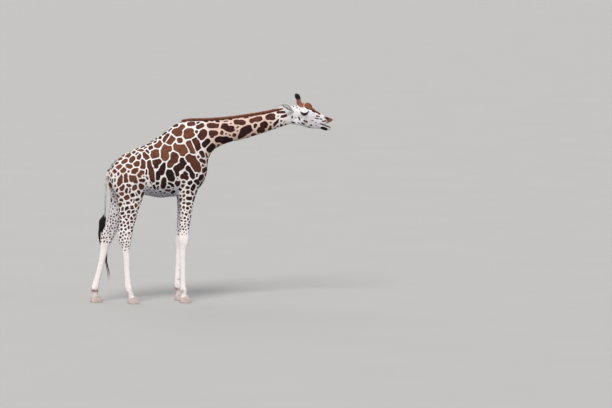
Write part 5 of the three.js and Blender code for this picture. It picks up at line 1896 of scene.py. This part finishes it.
class GiraffeHair(bpy.types.PropertyGroup):
    """How thick the coat grows."""

    density: FloatProperty(
        name="Density",
        description="Share of the full number of tufts",
        default=1.0,
        min=0.01,
        max=1.5,
        subtype="FACTOR",
    )
    length: FloatProperty(
        name="Length", description="Length of the coat, against its usual one", default=1.0, min=0.3, max=2.0
    )
    seed: IntProperty(
        name="Seed", description="Start of the random differences between tufts", default=23, min=0
    )


class GiraffeStage(bpy.types.PropertyGroup):
    """Floor and light."""

    floor: colour_property("Floor", "Colour of the floor", (0.37, 0.366, 0.358))
    key: FloatProperty(name="Key light", description="Strength of the main light", default=3.4, min=0.0)
    sky: FloatProperty(
        name="Sky", description="Strength of the light from all round", default=0.5, min=0.0, max=5.0
    )


class GIRAFFE_OT_skin(bpy.types.Operator):
    """Make the skin of the whole body and lay out its markings"""

    bl_idname = "giraffe.skin"
    bl_label = "Skin"

    def execute(self, context):
        skin = whole_skin()
        lay_out_markings(skin)
        align_to_lines(skin)
        give_values(skin.data, coat_values(places_of(skin.data), normals_of(skin.data)))
        flesh = ["head", "neck_upper", "neck_lower", "torso", "tail", *("leg_" + name for name in STANCE)]
        show_as(skin, skin_coat_material(), "coat", *flesh)
        return {"FINISHED"}


class GIRAFFE_OT_coat(bpy.types.Operator):
    """Grow the short coat over the skin"""

    bl_idname = "giraffe.coat"
    bl_label = "Coat"

    def execute(self, context):
        skin = bpy.data.objects["skin"]
        hair = context.scene.giraffe_hair
        for number, (name, region, wanted, density, length, width, lift) in enumerate(COAT):
            rng = np.random.default_rng(hair.seed + number)
            roots, normals = scatter(skin, wanted, density * hair.density, rng)
            mm = in_mm(roots)
            sizes = (length * hair.length * MM, width * MM, lift * MM)
            lay, flat = hair_lay(mm, normals), unwrap(mm, region)
            coat = tufts(name, roots, normals, lay, sizes, flat, coat_values, rng)
            show_as(coat, tuft_material(), "coat")
        return {"FINISHED"}


class GIRAFFE_OT_mane(bpy.types.Operator):
    """Set the upright mane on the crest of the neck"""

    bl_idname = "giraffe.mane"
    bl_label = "Mane"

    def execute(self, context):
        usual = paint("mane")
        stops = [(0.0, toned(usual, 0.35)), (0.45, usual), (1.0, toned(usual, 1.9))]
        show_as(make_mane(), hair_material("mane hair", stops), "coat")
        return {"FINISHED"}


class GIRAFFE_OT_tassel(bpy.types.Operator):
    """Hang the long black hair on the tail's end"""

    bl_idname = "giraffe.tassel"
    bl_label = "Tassel"

    def execute(self, context):
        stops = [(0.0, DARKEST), (0.6, (0.012, 0.009, 0.008, 1)), (1.0, (0.03, 0.02, 0.016, 1))]
        show_as(make_tassel(), hair_material("tassel hair", stops, 40, 0.42, 0.5), "tassel", "tail_tassel")
        return {"FINISHED"}


class GIRAFFE_OT_ossicones(bpy.types.Operator):
    """Make both ossicones with their hair"""

    bl_idname = "giraffe.ossicones"
    bl_label = "Ossicones"

    def execute(self, context):
        short = ossicone_material()
        for name, side in SIDES.items():
            show_as(make_ossicone(name, side), short, "horn_skin", "ossicone_" + name)
            show_as(make_ossicone_hair(name, side), short, "horn_skin")
        return {"FINISHED"}


class GIRAFFE_OT_ears(bpy.types.Operator):
    """Make both ears"""

    bl_idname = "giraffe.ears"
    bl_label = "Ears"

    def execute(self, context):
        rng = np.random.default_rng(context.scene.giraffe_hair.seed + 90)
        for name, side in SIDES.items():
            show_as(make_ear(name, side), skin_coat_material(), "coat", "ear_" + name)
            show_as(make_ear_coat(name, side, rng), tuft_material(), "coat")
        return {"FINISHED"}


class GIRAFFE_OT_eyes(bpy.types.Operator):
    """Make eyes, lids and lashes"""

    bl_idname = "giraffe.eyes"
    bl_label = "Eyes"

    def execute(self, context):
        wet = eye_material()
        rim = skin_material("lid skin", paint("bare"), 0.45)
        lash = hair_material("lash hair", [(0.0, DARKEST), (1.0, (0.015, 0.01, 0.008, 1))], 40, 0.4)
        for name, side in SIDES.items():
            show_as(make_eye(name, side), wet, "eye", "eye_" + name)
            show_as(make_lids(name, side), rim, "eye")
            show_as(make_lashes(name, side), lash, "tassel")
        return {"FINISHED"}


class GIRAFFE_OT_tongue(bpy.types.Operator):
    """Make the tongue between the lips"""

    bl_idname = "giraffe.tongue"
    bl_label = "Tongue"

    def execute(self, context):
        tongue = rounded_copy("tongue", "tongue_tip", lambda edge: 0.0)
        show_as(tongue, skin_material("tongue skin", (0.07, 0.05, 0.075, 1), 0.35, 900), "tongue", "tongue")
        return {"FINISHED"}


class GIRAFFE_OT_hooves(bpy.types.Operator):
    """Make the eight claws of the hooves"""

    bl_idname = "giraffe.hooves"
    bl_label = "Hooves"

    def execute(self, context):
        horn = hoof_material()
        for leg in STANCE:
            for claw in ("inner", "outer"):
                node = f"hoof_{leg}_{claw}"
                piece = rounded_copy(node, f"claw_{leg}_{claw}", hoof_edge)
                show_as(piece, horn, "hoof", node)
        return {"FINISHED"}


FLOOR_RADIUS = 300  # in metres
# Each light's direction, share of the main light's strength, spread in degrees and colour.
LIGHTS = (
    ("key light", (-3.0, -6.0, 8.0), 1.0, 28, (1.0, 0.97, 0.93)),
    ("fill light", (8.0, -4.0, 3.0), 0.22, 50, (0.95, 0.97, 1.0)),
    ("back light", (-3.0, 7.0, 5.0), 0.25, 50, (1.0, 1.0, 1.0)),
)


def floor_material(colour):
    """A plain matt floor, faintly clouded."""
    material, wire, shader, place = new_material("pale floor")
    clouded = wire.mix(wire.noise(place, 0.7, 4), toned(colour, 0.95), toned(colour, 1.0))
    finish(wire, shader, {"Base Color": clouded, "Roughness": 0.9, "Specular IOR Level": 0.2})
    return material


class GIRAFFE_OT_stage(bpy.types.Operator):
    """Set the camera, a plain floor and soft light"""

    bl_idname = "giraffe.stage"
    bl_label = "Stage"

    def execute(self, context):
        scene = context.scene
        settings = scene.giraffe_stage
        bm = bmesh.new()
        bmesh.ops.create_circle(bm, cap_ends=True, segments=96, radius=FLOOR_RADIUS)
        floor = piece_from([bm], "floor", smooth=False)
        floor.data.materials.append(floor_material(settings.floor))
        camera = bpy.data.cameras.new("camera")
        camera.sensor_width = 36
        camera.lens = camera.sensor_width * REACH / PICTURE[0]
        camera.clip_end = 2 * FLOOR_RADIUS
        scene.camera = link("camera", camera)
        scene.camera.location = EYE_POINT
        scene.camera.rotation_mode = "QUATERNION"
        scene.camera.rotation_quaternion = CAMERA_TURN
        for name, offset, share, spread, colour in LIGHTS:
            lamp = bpy.data.lights.new(name, "SUN")
            lamp.energy, lamp.angle, lamp.color = settings.key * share, math.radians(spread), colour
            obj = link(name, lamp)
            obj.location = offset
            obj.rotation_mode = "QUATERNION"
            obj.rotation_quaternion = (-Vector(offset)).to_track_quat("-Z", "Y")
        world = bpy.data.worlds.new("soft light")
        world.use_nodes = True
        background = world.node_tree.nodes["Background"]
        background.inputs["Color"].default_value = (0.93, 0.95, 1.0, 1)
        background.inputs["Strength"].default_value = settings.sky
        scene.world = world
        scene.view_settings.view_transform = "Standard"
        return {"FINISHED"}


OPERATORS = (
    GIRAFFE_OT_skin,
    GIRAFFE_OT_coat,
    GIRAFFE_OT_mane,
    GIRAFFE_OT_tassel,
    GIRAFFE_OT_ossicones,
    GIRAFFE_OT_ears,
    GIRAFFE_OT_eyes,
    GIRAFFE_OT_tongue,
    GIRAFFE_OT_hooves,
    GIRAFFE_OT_stage,
)


class GIRAFFE_PT_panel(bpy.types.Panel):
    """Lists the giraffe's settings and the steps that dress it"""

    bl_idname = "GIRAFFE_PT_panel"
    bl_label = "Giraffe"
    bl_space_type = "VIEW_3D"
    bl_region_type = "UI"
    bl_category = "Giraffe"

    def draw(self, context):
        column = self.layout.column()
        for settings in (context.scene.giraffe_coat, context.scene.giraffe_hair, context.scene.giraffe_stage):
            for name in settings.__annotations__:
                column.prop(settings, name)
        for operator in OPERATORS:
            column.operator(operator.bl_idname)


SETTINGS = {"giraffe_coat": GiraffeCoat, "giraffe_hair": GiraffeHair, "giraffe_stage": GiraffeStage}
CLASSES = (*SETTINGS.values(), *OPERATORS, GIRAFFE_PT_panel)


def register():
    for cls in CLASSES:
        bpy.utils.register_class(cls)
    for name, cls in SETTINGS.items():
        setattr(bpy.types.Scene, name, PointerProperty(type=cls))


def unregister():
    for name in SETTINGS:
        delattr(bpy.types.Scene, name)
    for cls in reversed(CLASSES):
        bpy.utils.unregister_class(cls)


def main():
    register()
    bpy.ops.giraffe.skin()
    bpy.ops.giraffe.coat()
    bpy.ops.giraffe.mane()
    bpy.ops.giraffe.tassel()
    bpy.ops.giraffe.ossicones()
    bpy.ops.giraffe.ears()
    bpy.ops.giraffe.eyes()
    bpy.ops.giraffe.tongue()
    bpy.ops.giraffe.hooves()
    bpy.ops.giraffe.stage()


if __name__ == "__main__":
    main()
